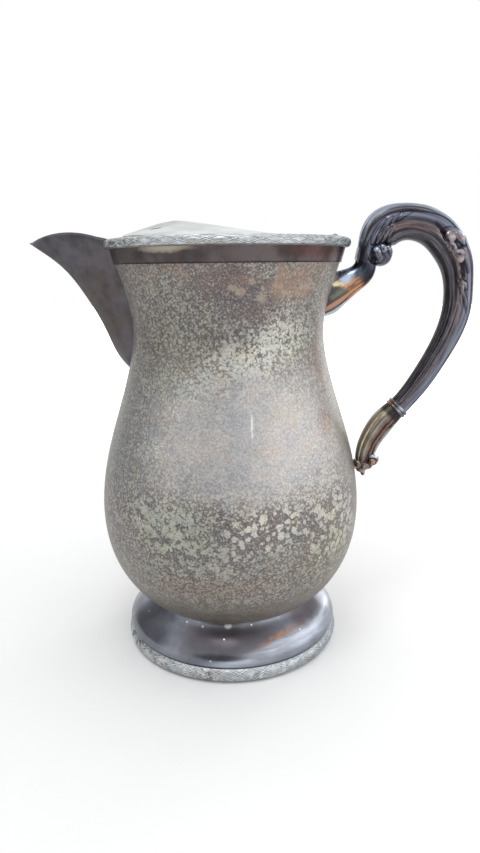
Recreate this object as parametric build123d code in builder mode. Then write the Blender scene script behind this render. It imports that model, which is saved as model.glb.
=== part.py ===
"""Covered serving jug: baluster body on a spun foot, beak spout, scroll handle, hinged lid.

Millimetres, +Z up. The origin is on the jug's vertical axis, on the surface that the foot stands on.
The spout points along -X and the handle stands at +X.
"""

import os
from math import atan2, cos, sin, sqrt

from build123d import *

os.makedirs("parts", exist_ok=True)

# ---------------------------------------------------------------- body
sheet = 1.2                    # wall of the raised body
base_radius = 28.0             # flat of the body's underside, hidden in the foot
base_height = 18.5             # height of that underside above the table
joint_radius = 41.8            # where the foot is soldered on
joint_rise = 5.5               # each rise is measured from the height below it
under_belly_radius = 58.9
under_belly_rise = 22.0
belly_radius = 63.4
belly_rise = 24.0
shoulder_radius = 57.0
shoulder_rise = 38.0
waist_radius = 47.5
waist_rise = 32.0
neck_radius = 45.2
neck_rise = 17.0
mouth_radius = 52.0            # under the plain band
mouth_rise = 30.0
band_rise = 6.6                # height of the plain band
band_flare = 1.8               # how much wider the body is at the top of the band
band_thickness = 0.7

# ---------------------------------------------------------------- leaf border on the mouth
border_rise = 4.2
border_overhang = 3.1          # its widest line, past the body's top edge
border_underside = 1.9         # its flat underside, past the body's top edge
border_crown = 0.7             # its flat top, past the body's top edge
mouth_opening = 49.8           # radius of the hole that the lid closes
ledge_width = 1.2              # step that the lid lies on
ledge_rise = 1.9

# ---------------------------------------------------------------- foot
foot_radius = 54.0             # widest line of the foot's leaf border
foot_border_rise = 7.2
foot_widest_rise = 4.2         # height of that widest line
foot_border_width = 4.1
foot_sole = 0.5                # width of the border's flat underside
foot_crown = 1.6               # its top stops this far inside its widest line
foot_bulge_radius = 53.1
foot_bulge_rise = 2.2          # above the border
foot_waist_radius = 49.2
foot_waist_rise = 9.4          # above the border
foot_sheet = 1.2

# ---------------------------------------------------------------- spout
spout_sheet = 1.2
spout_reach = 35.9             # the beak's tip, out from the body's top edge
spout_drop = 60.0              # the keel's lower end, down from the border's top
spout_half_width = 18.0        # at the mouth
spout_bulge = 0.06             # sagitta of a side, as a share of its length
spout_sink = 1.5               # depth in the body at which the bowed sides end
spout_root = 6.0               # how far they run straight on from there, to be cut to the body
lip_arch = 3.2                 # crest of the spout's top edge above the border's top
lip_crest_out = 18.0           # the crest, out from the body's top edge
tip_drop = 0.7                 # the tip, down from the border's top
lip_wire_rise = 0.9            # wire soldered along the spout's top edge
lip_wire_proud = 0.3           # how far it stands out from the spout's side
pour_margin = 2.5              # wall left between the pouring hole and the band

# ---------------------------------------------------------------- lid
lid_sheet = 1.2
lid_side_gap = 0.5             # to the border all round
lid_seat_gap = 0.3             # to the ledge
lid_flat = 3.0                 # flat rim outside the dome
dome_rise = 9.2                # crown above the flat rim
dome_lean = 22.5               # the crown's shift towards the spout
bezel_depth = 6.0
bezel_wall = 1.0
bezel_gap = 0.6                # to the mouth's edge
vent_out = 30.7                # middle of the vent slot, out towards the spout
vent_aside = 20.2              # and to the side
vent_length = 5.6
vent_width = 2.4

# ---------------------------------------------------------------- hinge
hinge_inset = 2.1              # pin's axis inside the border's inner wall
hinge_lift = 0.15              # pin's axis above the border's top
knuckle_radius = 1.6
knuckle_length = 5.6
knuckle_gap = 0.25             # between knuckles, along the pin
pin_radius = 0.8
pin_fit = 0.05                 # radial
swing_gap = 0.3                # round the moving knuckle
leaf_thickness = 1.0
leaf_reach = 3.0               # length of each leaf on its seat

# ---------------------------------------------------------------- handle
socket_above_neck = 15.0       # middle of the upper socket above the narrowest neck
handle_drop = 83.5             # from there to the lower joint
handle_fatness = 0.84          # thickness across, as a share of the width seen from the side
upper_volute_radius = 5.7
upper_volute_length = 13.0
lower_volute_radius = 3.7
lower_volute_length = 9.4
volute_rounding = 1.8
collar_radius = 4.9
collar_length = 3.4
collar_bead_radius = 0.9
leaf_tip_width = 5.0
foot_leaf_width = 7.2

# ---------------------------------------------------------------- heights and radii worked out
joint_height = base_height + joint_rise
under_belly_height = joint_height + under_belly_rise
belly_height = under_belly_height + belly_rise
shoulder_height = belly_height + shoulder_rise
waist_height = shoulder_height + waist_rise
neck_height = waist_height + neck_rise
band_height = neck_height + mouth_rise
border_height = band_height + band_rise
top_height = border_height + border_rise
ledge_height = border_height + ledge_rise
top_radius = mouth_radius + band_flare
border_inner_radius = mouth_opening + ledge_width

body_outline = (
    (base_radius, base_height),
    (joint_radius, joint_height),
    (under_belly_radius, under_belly_height),
    (belly_radius, belly_height),
    (shoulder_radius, shoulder_height),
    (waist_radius, waist_height),
    (neck_radius, neck_height),
    (mouth_radius, band_height),
    (top_radius, border_height),
)

# ---------------------------------------------------------------- body
with BuildPart() as body_form:
    with BuildSketch(Plane.XZ):
        with BuildLine():
            body_curve = Spline(*body_outline)
            Polyline(body_curve @ 1, (0, border_height), (0, base_height), body_curve @ 0)
        make_face()
    revolve(axis=Axis.Z)


def body_radius(height):
    """Outer radius of the body at a height, found along its profile curve."""
    low, high = 0.0, 1.0
    for _ in range(40):
        middle = (low + high) / 2
        if (body_curve @ middle).Y < height:
            low = middle
        else:
            high = middle
    return (body_curve @ low).X


def wall_inside(curve, outline, wall):
    """The points of a profile's outline, each moved square to its curve by the wall's thickness."""
    moved = []
    for point in outline:
        tangent = curve % curve.param_at_point(Vector(*point))
        moved.append((point[0] - wall * tangent.Y, point[1] + wall * tangent.X))
    return moved


spout_stations = (             # shares of the spout's drop, reach and half width, top to bottom
    (-0.08, 1.12, 1.03),
    (0.05, 0.96, 0.99),
    (0.14, 0.78, 0.95),
    (0.32, 0.59, 0.86),
    (0.56, 0.443, 0.76),
    (0.79, 0.281, 0.60),
    (0.92, 0.128, 0.42),
    (1.01, -0.04, 0.20),
)


def spout_section(drop, reach, half_width, inset):
    """Level section of the beak: two bowed sides that meet at the keel, run on into the body."""
    height = top_height - drop * spout_drop
    surface = body_radius(min(height, border_height))
    half = half_width * spout_half_width
    root = sqrt((surface - spout_sink)**2 - half**2)
    keel = surface + reach * spout_reach
    lean = atan2(half, keel - root)
    half -= inset / cos(lean)
    keel -= inset / sin(lean)
    bow_out = (root + keel) / 2 + spout_bulge * half
    bow_aside = half / 2 + spout_bulge * (keel - root)
    with BuildSketch(Plane.XY.offset(height)) as section:
        with BuildLine():
            ThreePointArc((-root, -half), (-bow_out, -bow_aside), (-keel, 0))
            ThreePointArc((-keel, 0), (-bow_out, bow_aside), (-root, half))
            back = spout_root - root
            Polyline((-root, half), (back, half), (back, -half), (-root, -half))
        make_face()
    return section.sketch


with BuildPart() as spout_hollow:
    loft([spout_section(*station, spout_sheet) for station in spout_stations[:-1]])

with BuildPart() as pouring_hole:
    add(spout_hollow.part)
    split(bisect_by=Plane.XY.offset(band_height - pour_margin), keep=Keep.BOTTOM)

with BuildPart() as body_shell:
    with BuildSketch(Plane.XZ):
        with BuildLine():
            add(body_curve)
            cavity_outline = wall_inside(body_curve, body_outline[:-1], sheet)
            cavity_curve = Spline(*cavity_outline, (top_radius - sheet, border_height))
            Line(body_curve @ 1, cavity_curve @ 1)
            floor_height = (cavity_curve @ 0).Y
            Polyline(cavity_curve @ 0, (0, floor_height), (0, base_height), body_curve @ 0)
        make_face()
    revolve(axis=Axis.Z)
    add(pouring_hole.part, mode=Mode.SUBTRACT)
body_shell.part.label = "body_shell"
export_step(body_shell.part, "parts/body_shell.step")

# ---------------------------------------------------------------- plain band and leaf border
band_bottom = (mouth_radius + band_thickness, band_height)
band_top = (top_radius + band_thickness, border_height)
border_under = (top_radius + border_underside, border_height)
border_side = (top_radius + border_overhang, border_height + border_rise / 2)
border_top = (top_radius + border_crown, top_height)

with BuildPart() as rim_band:
    with BuildSketch(Plane.XZ):
        with BuildLine():
            band_back = ((neck_radius, border_height), (neck_radius, band_height))
            Polyline(band_bottom, band_top, *band_back, close=True)
        make_face()
    revolve(axis=Axis.Z)
    add(body_form.part, mode=Mode.SUBTRACT)
rim_band.part.label = "rim_band"
export_step(rim_band.part, "parts/rim_band.step")

hinge_x = border_inner_radius - hinge_inset
hinge_z = top_height + hinge_lift
hinge_plane = Plane(origin=(hinge_x, 0, hinge_z), x_dir=(1, 0, 0), z_dir=(0, -1, 0))
half_hinge = 1.5 * knuckle_length + knuckle_gap
leaf_end = border_inner_radius + leaf_reach

with BuildPart() as rim_border:
    with BuildSketch(Plane.XZ):
        with BuildLine():
            ThreePointArc(border_under, border_side, border_top)
            Polyline(
                border_top,
                (border_inner_radius, top_height),
                (border_inner_radius, ledge_height),
                (mouth_opening, ledge_height),
                (mouth_opening, border_height),
                border_under,
            )
        make_face()
    revolve(axis=Axis.Z)
    with BuildSketch(Plane.XY.offset(top_height)):
        with Locations((leaf_end, 0)):
            Rectangle(2 * leaf_reach, 2 * half_hinge, align=(Align.MAX, Align.CENTER))
    extrude(amount=-leaf_thickness, mode=Mode.SUBTRACT)
rim_border.part.label = "rim_border"
export_step(rim_border.part, "parts/rim_border.step")

# ---------------------------------------------------------------- spout
with BuildPart() as mouth_form:
    with BuildSketch(Plane.XZ):
        with BuildLine():
            Polyline(band_bottom, band_top, border_under)
            ThreePointArc(border_under, border_side, border_top)
            clear_height = top_height + spout_drop
            above_border = (border_top[0], clear_height)
            Polyline(border_top, above_border, (0, clear_height), (0, band_height), band_bottom)
        make_face()
    revolve(axis=Axis.Z)

lip_tip = (-top_radius - spout_reach, top_height - tip_drop)
lip_crest = (-top_radius - lip_crest_out, top_height + lip_arch)
lip_root = (-top_radius, top_height)

with BuildPart() as above_lip:
    with BuildSketch(Plane.XZ):
        with BuildLine():
            ThreePointArc(lip_tip, lip_crest, lip_root)
            beyond = lip_tip[0] - spout_reach
            above_body = ((0, top_height), (0, clear_height))
            Polyline(lip_root, *above_body, (beyond, clear_height), (beyond, lip_tip[1]), lip_tip)
        make_face()
    extrude(amount=2 * spout_half_width, both=True)
above_wire_seat = above_lip.part.moved(Location((0, 0, -lip_wire_rise)))

with BuildPart() as spout:
    loft([spout_section(*station, 0) for station in spout_stations])
    add(spout_hollow.part, mode=Mode.SUBTRACT)
    add(above_wire_seat, mode=Mode.SUBTRACT)
    add(body_form.part, mode=Mode.SUBTRACT)
    add(mouth_form.part, mode=Mode.SUBTRACT)
spout.part.label = "spout"
export_step(spout.part, "parts/spout.step")

with BuildPart() as spout_lip:
    loft([spout_section(*station, -lip_wire_proud) for station in spout_stations[:3]])
    add(spout_hollow.part, mode=Mode.SUBTRACT)
    add(above_wire_seat, mode=Mode.INTERSECT)
    add(above_lip.part, mode=Mode.SUBTRACT)
    add(body_form.part, mode=Mode.SUBTRACT)
    add(mouth_form.part, mode=Mode.SUBTRACT)
spout_lip.part.label = "spout_lip"
export_step(spout_lip.part, "parts/spout_lip.step")

# ---------------------------------------------------------------- foot
foot_inner_radius = foot_radius - foot_border_width
foot_crown_point = (foot_radius - foot_crown, foot_border_rise)
foot_bulge_height = foot_border_rise + foot_bulge_rise
foot_waist_height = foot_border_rise + foot_waist_rise

with BuildPart() as foot_border:
    with BuildSketch(Plane.XZ):
        with BuildLine():
            sole_end = (foot_inner_radius + foot_sole, 0)
            ThreePointArc(sole_end, (foot_radius, foot_widest_rise), foot_crown_point)
            border_back = ((foot_inner_radius, foot_border_rise), (foot_inner_radius, 0))
            Polyline(foot_crown_point, *border_back, sole_end)
        make_face()
    revolve(axis=Axis.Z)
foot_border.part.label = "foot_border"
export_step(foot_border.part, "parts/foot_border.step")

with BuildPart() as foot:
    with BuildSketch(Plane.XZ):
        with BuildLine():
            foot_outline = (
                foot_crown_point,
                (foot_bulge_radius, foot_bulge_height),
                (foot_waist_radius, foot_waist_height),
                (joint_radius, joint_height),
            )
            foot_curve = Spline(*foot_outline)
            skirt_radius = foot_inner_radius - foot_sheet
            inner_start = (skirt_radius, foot_border_rise + foot_sheet)
            inner_curve = Spline(inner_start, *wall_inside(foot_curve, foot_outline[1:], foot_sheet))
            Line(foot_curve @ 1, inner_curve @ 1)
            Polyline(
                foot_crown_point,
                (foot_inner_radius, foot_border_rise),
                (foot_inner_radius, 0),
                (skirt_radius, 0),
                inner_start,
            )
        make_face()
    revolve(axis=Axis.Z)
    add(body_form.part, mode=Mode.SUBTRACT)
foot.part.label = "foot"
export_step(foot.part, "parts/foot.step")

# ---------------------------------------------------------------- lid
seat_height = ledge_height + lid_seat_gap
flat_height = seat_height + lid_sheet
lid_radius = border_inner_radius - lid_side_gap
dome_radius = lid_radius - lid_flat
notch_start = hinge_x - knuckle_radius - swing_gap

dome_stations = (              # shares of the dome's rise, radius and lean, bottom to top
    (0.0, 1.0, 0.0),
    (0.18, 0.86, 0.30),
    (0.34, 0.70, 0.58),
    (0.53, 0.52, 0.72),
    (0.75, 0.33, 0.85),
    (0.92, 0.16, 0.95),
    (1.0, 0.05, 1.0),
)


def dome_sections(start_height, start_radius):
    """Level circles of the off-centre dome, from its foot circle up."""
    circles = []
    for rise, radius, lean in dome_stations:
        with BuildSketch(Plane.XY.offset(start_height + rise * dome_rise)) as level:
            with Locations((-lean * dome_lean, 0)):
                Circle(radius * start_radius)
        circles.append(level.sketch)
    return circles


with BuildPart() as lid:
    with BuildSketch(Plane.XY.offset(seat_height)):
        Circle(lid_radius)
    extrude(amount=lid_sheet)
    loft(dome_sections(flat_height, dome_radius))
    loft(dome_sections(seat_height, dome_radius - lid_sheet), mode=Mode.SUBTRACT)
    with BuildSketch(Plane.XY.offset(seat_height)):
        with Locations((notch_start, 0)):
            Rectangle(2 * lid_flat, 2 * (half_hinge + swing_gap), align=(Align.MIN, Align.CENTER))
        with Locations((-vent_out, -vent_aside)):
            SlotOverall(vent_length, vent_width)
    extrude(amount=dome_rise, mode=Mode.SUBTRACT)
lid.part.label = "lid"
export_step(lid.part, "parts/lid.step")

with BuildPart() as lid_bezel:
    with BuildSketch(Plane.XY.offset(seat_height)):
        Circle(mouth_opening - bezel_gap)
        Circle(mouth_opening - bezel_gap - bezel_wall, mode=Mode.SUBTRACT)
    extrude(amount=-bezel_depth)
lid_bezel.part.label = "lid_bezel"
export_step(lid_bezel.part, "parts/lid_bezel.step")

# ---------------------------------------------------------------- hinge
leaf_start = hinge_x - knuckle_radius - leaf_reach
pitch = knuckle_length + knuckle_gap

with BuildPart() as lid_hinge_leaf:
    with BuildSketch(Plane.XY.offset(flat_height)):
        with Locations((leaf_start, 0)):
            Rectangle(notch_start - leaf_start, 2 * half_hinge, align=(Align.MIN, Align.CENTER))
            Rectangle(hinge_x - leaf_start, knuckle_length, align=(Align.MIN, Align.CENTER))
    extrude(amount=leaf_thickness)
    with BuildSketch(hinge_plane):
        Circle(knuckle_radius)
    extrude(amount=knuckle_length / 2, both=True)
    with BuildSketch(hinge_plane):
        Circle(pin_radius + pin_fit)
    extrude(amount=half_hinge, both=True, mode=Mode.SUBTRACT)
    add(lid.part, mode=Mode.SUBTRACT)
lid_hinge_leaf.part.label = "lid_hinge_leaf"
export_step(lid_hinge_leaf.part, "parts/lid_hinge_leaf.step")

with BuildPart() as fixed_hinge_leaf:
    with BuildSketch(Plane.XY.offset(top_height)):
        with Locations((leaf_end, 0)):
            Rectangle(leaf_end - hinge_x, 2 * half_hinge, align=(Align.MAX, Align.CENTER))
        with Locations((hinge_x + knuckle_radius + swing_gap, 0)):
            moving_width = knuckle_length + 2 * knuckle_gap
            Rectangle(2 * hinge_x, moving_width, align=(Align.MAX, Align.CENTER), mode=Mode.SUBTRACT)
    extrude(amount=-leaf_thickness)
    for side in (-1, 1):
        with BuildSketch(hinge_plane.offset(side * pitch)):
            Circle(knuckle_radius)
        extrude(amount=knuckle_length / 2, both=True)
    with BuildSketch(hinge_plane):
        Circle(pin_radius)
    extrude(amount=half_hinge, both=True, mode=Mode.SUBTRACT)
fixed_hinge_leaf.part.label = "fixed_hinge_leaf"
export_step(fixed_hinge_leaf.part, "parts/fixed_hinge_leaf.step")

with BuildPart() as hinge_pin:
    with BuildSketch(hinge_plane):
        Circle(pin_radius)
    extrude(amount=half_hinge, both=True)
hinge_pin.part.label = "hinge_pin"
export_step(hinge_pin.part, "parts/hinge_pin.step")

# ---------------------------------------------------------------- handle
socket_height = neck_height + socket_above_neck
heel_height = socket_height - handle_drop
heel_lead = body_radius(heel_height) - body_radius(socket_height)


def handle_point(out, up):
    """Point in the handle's plane: out from the body's side, up from the upper socket's middle."""
    down_share = min(max(-up / handle_drop, 0), 1)
    return Vector(body_radius(socket_height) + heel_lead * down_share + out, 0, socket_height + up)


socket_stations = (            # out, up and width of the handle seen from the side
    (-3.5, -0.2, 20.0),
    (1.4, 1.0, 18.2),
    (6.9, 4.4, 14.7),
    (13.5, 8.2, 11.6),
    (17.6, 14.6, 10.2),
)
grip_stations = (
    (20.3, 23.2, 13.8),
    (25.0, 29.6, 18.2),
    (33.3, 32.7, 17.0),
    (41.8, 32.2, 16.6),
    (49.8, 28.6, 17.2),
    (56.0, 22.0, 17.0),
    (60.1, 14.0, 15.6),
    (61.9, 4.0, 13.8),
    (60.6, -7.0, 13.5),
    (56.4, -17.0, 12.8),
    (48.8, -29.0, 11.6),
    (40.0, -40.6, 11.0),
    (33.0, -48.5, 10.2),
)
collar_station = (26.0, -55.2, 10.2)
heel_stations = (
    (18.2, -62.1, 12.0),
    (13.3, -67.8, 11.5),
    (9.4, -73.6, 10.4),
    (6.6, -79.8, 9.2),
    (4.9, -84.8, 6.8),
)
upper_volute_place = (23.9, 18.6)
lower_volute_place = (9.8, -81.0)
leaf_tip_outline = (
    (13.4, 13.0),
    (12.6, 17.0),
    (13.6, 21.8),
    (16.4, 20.0),
    (17.5, 15.0),
)
foot_leaf_outline = (
    (-4.0, -83.5),
    (-4.0, -87.0),
    (1.6, -87.2),
    (5.2, -90.2),
    (7.4, -87.4),
    (10.6, -84.6),
    (6.0, -80.4),
)
handle_stations = (*socket_stations, *grip_stations, collar_station, *heel_stations)
handle_curve = Spline(*(handle_point(out, up) for out, up, width in handle_stations))


def handle_plane(station):
    """Plane square to the handle's curve at a station, with its local X across the handle."""
    place = handle_point(*station[:2])
    along = handle_curve % handle_curve.param_at_point(place)
    return Plane(origin=place, x_dir=(0, 1, 0), z_dir=along)


def handle_section(station, shift=0.0):
    """Oval section of the handle at a station, or a little further along."""
    width = station[2]
    with BuildSketch(handle_plane(station).offset(shift)) as section:
        Ellipse(handle_fatness * width / 2, width / 2)
    return section.sketch


def leaf_plate(outline, width):
    """Flat cast leaf: an outline in the handle's plane, given thickness across."""
    with BuildPart() as plate:
        with BuildSketch(Plane.XZ):
            with BuildLine():
                places = [handle_point(*spot) for spot in outline]
                Polyline(*((place.X, place.Z) for place in places), close=True)
            make_face()
        extrude(amount=width / 2, both=True)
    return plate.part


with BuildPart() as handle_grip:
    grip_sections = [handle_section(station) for station in (socket_stations[-1], *grip_stations)]
    loft([*grip_sections, handle_section(collar_station, -collar_length / 2)])
handle_grip.part.label = "handle_grip"
export_step(handle_grip.part, "parts/handle_grip.step")

with BuildPart() as socket_leaf_tip:
    add(leaf_plate(leaf_tip_outline, leaf_tip_width))
    add(handle_grip.part, mode=Mode.SUBTRACT)

with BuildPart() as handle_upper_socket:
    loft([handle_section(station) for station in socket_stations])
    add(socket_leaf_tip.part)
    add(body_form.part, mode=Mode.SUBTRACT)
handle_upper_socket.part.label = "handle_upper_socket"
export_step(handle_upper_socket.part, "parts/handle_upper_socket.step")

with BuildPart() as handle_lower_socket:
    heel_sections = [handle_section(station) for station in heel_stations]
    loft([handle_section(collar_station, collar_length / 2), *heel_sections])
handle_lower_socket.part.label = "handle_lower_socket"
export_step(handle_lower_socket.part, "parts/handle_lower_socket.step")

collar_plane = handle_plane(collar_station)
collar_axis = Axis(collar_plane.origin, collar_plane.z_dir)
collar_side = Plane(origin=collar_plane.origin, x_dir=collar_plane.y_dir, z_dir=collar_plane.x_dir)

with BuildPart() as handle_collar:
    with BuildSketch(collar_side):
        Rectangle(collar_radius, collar_length, align=(Align.MIN, Align.CENTER))
        bead_offset = collar_length / 2 - collar_bead_radius
        with Locations((collar_radius, -bead_offset), (collar_radius, bead_offset)):
            Circle(collar_bead_radius)
    revolve(axis=collar_axis)
handle_collar.part.label = "handle_collar"
export_step(handle_collar.part, "parts/handle_collar.step")


def volute(centre, radius, length):
    """Rounded barrel of a scroll's end, lying across the handle."""
    with BuildPart() as barrel:
        with BuildSketch(Plane(origin=centre, x_dir=(1, 0, 0), z_dir=(0, -1, 0))):
            Circle(radius)
        extrude(amount=length / 2, both=True)
        fillet(barrel.edges().filter_by(GeomType.CIRCLE), volute_rounding)
    return barrel.part


with BuildPart() as handle_upper_volute:
    add(volute(handle_point(*upper_volute_place), upper_volute_radius, upper_volute_length))
    add(handle_grip.part, mode=Mode.SUBTRACT)
    add(handle_upper_socket.part, mode=Mode.SUBTRACT)
handle_upper_volute.part.label = "handle_upper_volute"
export_step(handle_upper_volute.part, "parts/handle_upper_volute.step")

with BuildPart() as handle_lower_volute:
    add(volute(handle_point(*lower_volute_place), lower_volute_radius, lower_volute_length))
    add(handle_lower_socket.part, mode=Mode.SUBTRACT)
handle_lower_volute.part.label = "handle_lower_volute"
export_step(handle_lower_volute.part, "parts/handle_lower_volute.step")

with BuildPart() as handle_foot_leaf:
    add(leaf_plate(foot_leaf_outline, foot_leaf_width))
    add(body_form.part, mode=Mode.SUBTRACT)
    add(handle_lower_socket.part, mode=Mode.SUBTRACT)
    add(handle_lower_volute.part, mode=Mode.SUBTRACT)
handle_foot_leaf.part.label = "handle_foot_leaf"
export_step(handle_foot_leaf.part, "parts/handle_foot_leaf.step")
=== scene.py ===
"""Looks of a covered serving jug in tarnished silver plate, made around its packed construction model.

Everything is in metres, +Z up, in the model's own frame: the spout points along -X and the handle stands at +X.
"""

import math

import bmesh
import bpy
import numpy as np
from mathutils import Matrix, Vector


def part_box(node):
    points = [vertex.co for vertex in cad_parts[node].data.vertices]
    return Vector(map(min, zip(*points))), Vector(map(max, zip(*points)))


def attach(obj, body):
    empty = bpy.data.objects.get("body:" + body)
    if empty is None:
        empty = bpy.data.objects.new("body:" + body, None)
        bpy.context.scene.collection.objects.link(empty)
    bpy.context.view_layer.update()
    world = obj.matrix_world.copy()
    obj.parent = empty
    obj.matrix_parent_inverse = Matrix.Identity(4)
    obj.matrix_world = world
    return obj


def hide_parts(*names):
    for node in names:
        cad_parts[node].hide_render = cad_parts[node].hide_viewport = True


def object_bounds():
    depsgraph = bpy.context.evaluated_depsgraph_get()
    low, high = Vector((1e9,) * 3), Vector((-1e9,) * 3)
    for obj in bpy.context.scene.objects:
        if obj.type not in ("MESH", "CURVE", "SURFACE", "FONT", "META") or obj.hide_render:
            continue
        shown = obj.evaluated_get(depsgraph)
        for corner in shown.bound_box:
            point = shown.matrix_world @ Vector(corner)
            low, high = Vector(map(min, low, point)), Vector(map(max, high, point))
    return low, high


bl_info = {
    "name": "Serving Jug Dresser",
    "version": (1, 0, 0),
    "blender": (4, 5, 0),
    "location": "View3D > Sidebar > Jug",
    "description": "Finishes and cast ornament of a covered serving jug",
    "category": "Object",
}

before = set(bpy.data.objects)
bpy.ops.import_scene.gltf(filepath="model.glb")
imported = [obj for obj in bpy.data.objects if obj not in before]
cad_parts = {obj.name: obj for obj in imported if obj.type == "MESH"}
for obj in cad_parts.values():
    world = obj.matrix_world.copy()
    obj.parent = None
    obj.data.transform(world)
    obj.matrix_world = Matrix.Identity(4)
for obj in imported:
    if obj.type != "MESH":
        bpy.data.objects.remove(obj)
cad_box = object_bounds()

MM = 0.001
FULL_TURN = 2 * math.pi


def linear(display):
    """Linear level of an 8-bit display level."""
    level = display / 255
    return level / 12.92 if display <= 10 else ((level + 0.055) / 1.055) ** 2.4


def shaded(colour, level):
    """Colour made darker or lighter."""
    return [level * c for c in colour]


def colour_property(name, description, *display_colour):
    """A colour that the user may change, given in 8-bit display levels."""
    return bpy.props.FloatVectorProperty(
        name=name, description=description, default=[linear(c) for c in display_colour], subtype="COLOR", size=3,
        min=0.0, max=1.0,
    )


def length_property(name, description, millimetres):
    """A length that the user may change."""
    return bpy.props.FloatProperty(
        name=name, description=description, default=MM * millimetres, subtype="DISTANCE", unit="LENGTH", precision=5
    )


def angle_property(name, description, degrees):
    """An angle that the user may change."""
    return bpy.props.FloatProperty(name=name, description=description, default=math.radians(degrees), subtype="ANGLE")


def count_property(name, description, count):
    """A number of leaves that the user may change."""
    return bpy.props.IntProperty(name=name, description=description, default=count, min=8, max=60)


# ---------------------------------------------------------------- settings
class JugPatina(bpy.types.PropertyGroup):
    """Tarnish of the raised body."""

    ground: colour_property("Ground", "Dark tarnish of the neck", 104, 96, 96)
    ground_pale: colour_property("Pale ground", "Tarnish of the belly's middle", 164, 158, 157)
    bloom: colour_property("Bloom", "Dull bloom of the neck", 152, 150, 141)
    bloom_pale: colour_property("Pale bloom", "Bright bloom on the shoulder and the belly", 212, 212, 202)
    outline: colour_property("Outline", "Dark rim round each grain of bloom", 76, 70, 70)
    haze: colour_property("Haze", "Smooth bloom at the middle of the belly", 197, 191, 189)
    haze_cool: colour_property("Cool haze", "Cooler patches of the smooth bloom", 184, 182, 183)
    brown: colour_property("Brown", "Warm tarnish under the band and by the handle", 164, 138, 118)
    olive: colour_property("Olive edge", "Tarnish where the body meets the foot", 104, 94, 82)
    blotch: colour_property("Blotches", "Large beige islands on the neck", 170, 156, 140)
    # the fleck colour also paints a glint on the belly
    fleck_and_glint: colour_property("Flecks", "Scratches and dried drops", 228, 226, 222)
    grain_size: length_property("Grain size", "Spacing of the fine grains of bloom", 1.25)
    island_size: length_property("Island size", "Spacing of the coarse islands of bloom", 2.7)
    patch_size: length_property("Patch size", "Width of the patches in which the grains gather", 5.0)
    coverage: bpy.props.FloatProperty(
        name="Coverage", description="How far the bloom spreads, 0 for about half of the surface", default=0.0,
        min=-0.3, max=0.3,
    )


class JugPlate(bpy.types.PropertyGroup):
    """Smooth and cast silver plate."""

    spout: colour_property("Spout", "Dark plate of the spout", 92, 89, 94)
    band: colour_property("Band", "Dark plate of the band", 94, 86, 86)
    # painted reflection: pale beige patches on the band under the mouth's border
    band_reflection: colour_property("Pale band", "Worn patches under the mouth's border", 176, 166, 150)
    foot: colour_property("Foot", "Polished plate of the foot", 133, 136, 146)
    foot_stain: colour_property("Foot stain", "Brown tarnish of the foot's waist", 78, 68, 72)
    # painted highlight: the bright sweep of the foot, the collar's bead and the crescent on the lower scroll
    painted_highlight: colour_property("Bright foot", "Polished sweep of the foot's flare", 206, 214, 226)
    border: colour_property("Border", "Worn bright leaf borders", 206, 212, 216)
    border_rib: colour_property("Border ribs", "Thin ribs of the leaf borders", 226, 230, 232)
    border_hollow: colour_property("Border hollows", "Tarnish left in the borders' grooves", 78, 80, 88)
    border_low: colour_property("Border edge", "Browner tarnish along the borders' lower edge", 100, 90, 84)
    lid: colour_property("Lid", "Bright plate of the lid", 214, 220, 219)
    handle: colour_property("Handle", "Polished cast handle", 122, 118, 126)
    handle_blue: colour_property("Blue hollows", "Bluish plate in the handle's wide hollows", 126, 133, 150)
    # also paints a thin shadow line along the band's lower edge
    tarnish_and_shadow: colour_property("Handle hollows", "Tarnish left in the handle's grooves", 42, 39, 46)
    # also a painted reflection of the hand on the grip's inner flank and in the heel's stripes
    brown_and_skin_reflection: colour_property("Brown ridges", "Worn ridges on the handle's flanks", 134, 112, 106)
    curl: colour_property("Leaf curls", "Worn tops of the cast leaves", 182, 172, 178)
    # painted reflection: the sky's pale blue on the upper socket and over the handle's top
    socket: colour_property("Socket", "Bright plate of the upper socket", 190, 204, 226)
    socket_dark: colour_property("Dark socket", "Tarnished plate of the upper socket", 72, 78, 92)
    facet: colour_property("Socket foot", "Greenish tarnish where the upper socket meets the body", 104, 106, 98)
    # also painted warm reflections on the foot's sweep and the upper socket
    brass_and_warm_reflection: colour_property("Worn brass", "Base metal that shows through", 178, 134, 106)
    heel: colour_property("Heel", "Tarnish of the lower socket", 136, 130, 124)
    # painted highlight: pale lines on the heel's stripes and on the upper socket
    pale_highlight: colour_property("Pale heel", "Polished ridge of the lower socket", 226, 214, 176)


class JugRelief(bpy.types.PropertyGroup):
    """Cast ornament."""

    rim_leaves: count_property("Rim leaves", "Leaves round the mouth's border", 33)
    foot_leaves: count_property("Foot leaves", "Leaves round the foot's border", 31)
    border_depth: length_property("Border depth", "Depth of the grooves between leaves", 0.38)
    flute_depth: length_property("Flute depth", "Depth of the handle's grooves", 0.95)
    heel_depth: length_property("Heel depth", "Depth of the lower socket's grooves", 0.7)


class JugStage(bpy.types.PropertyGroup):
    """Camera, floor and lamps."""

    camera_distance: length_property("Camera distance", "From the jug's axis", 309.6)
    camera_height: length_property("Camera height", "Above the floor", 185.7)
    camera_pitch: angle_property("Camera pitch", "Downward tilt", 14.03)
    camera_yaw: angle_property("Camera yaw", "Turn towards the handle", 0.945)
    camera_roll: angle_property("Camera roll", "Turn about the line of sight", 0.636)
    lens: bpy.props.FloatProperty(
        name="Lens", description="Focal length on a 36 mm sensor", default=27.07, min=10.0, max=200.0
    )
    world_level: bpy.props.FloatProperty(
        name="World level", description="Brightness of the white surroundings", default=1.0, subtype="FACTOR",
        min=0.0, max=1.0,
    )


SETTINGS = {"jug_patina": JugPatina, "jug_plate": JugPlate, "jug_relief": JugRelief, "jug_stage": JugStage}


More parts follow.
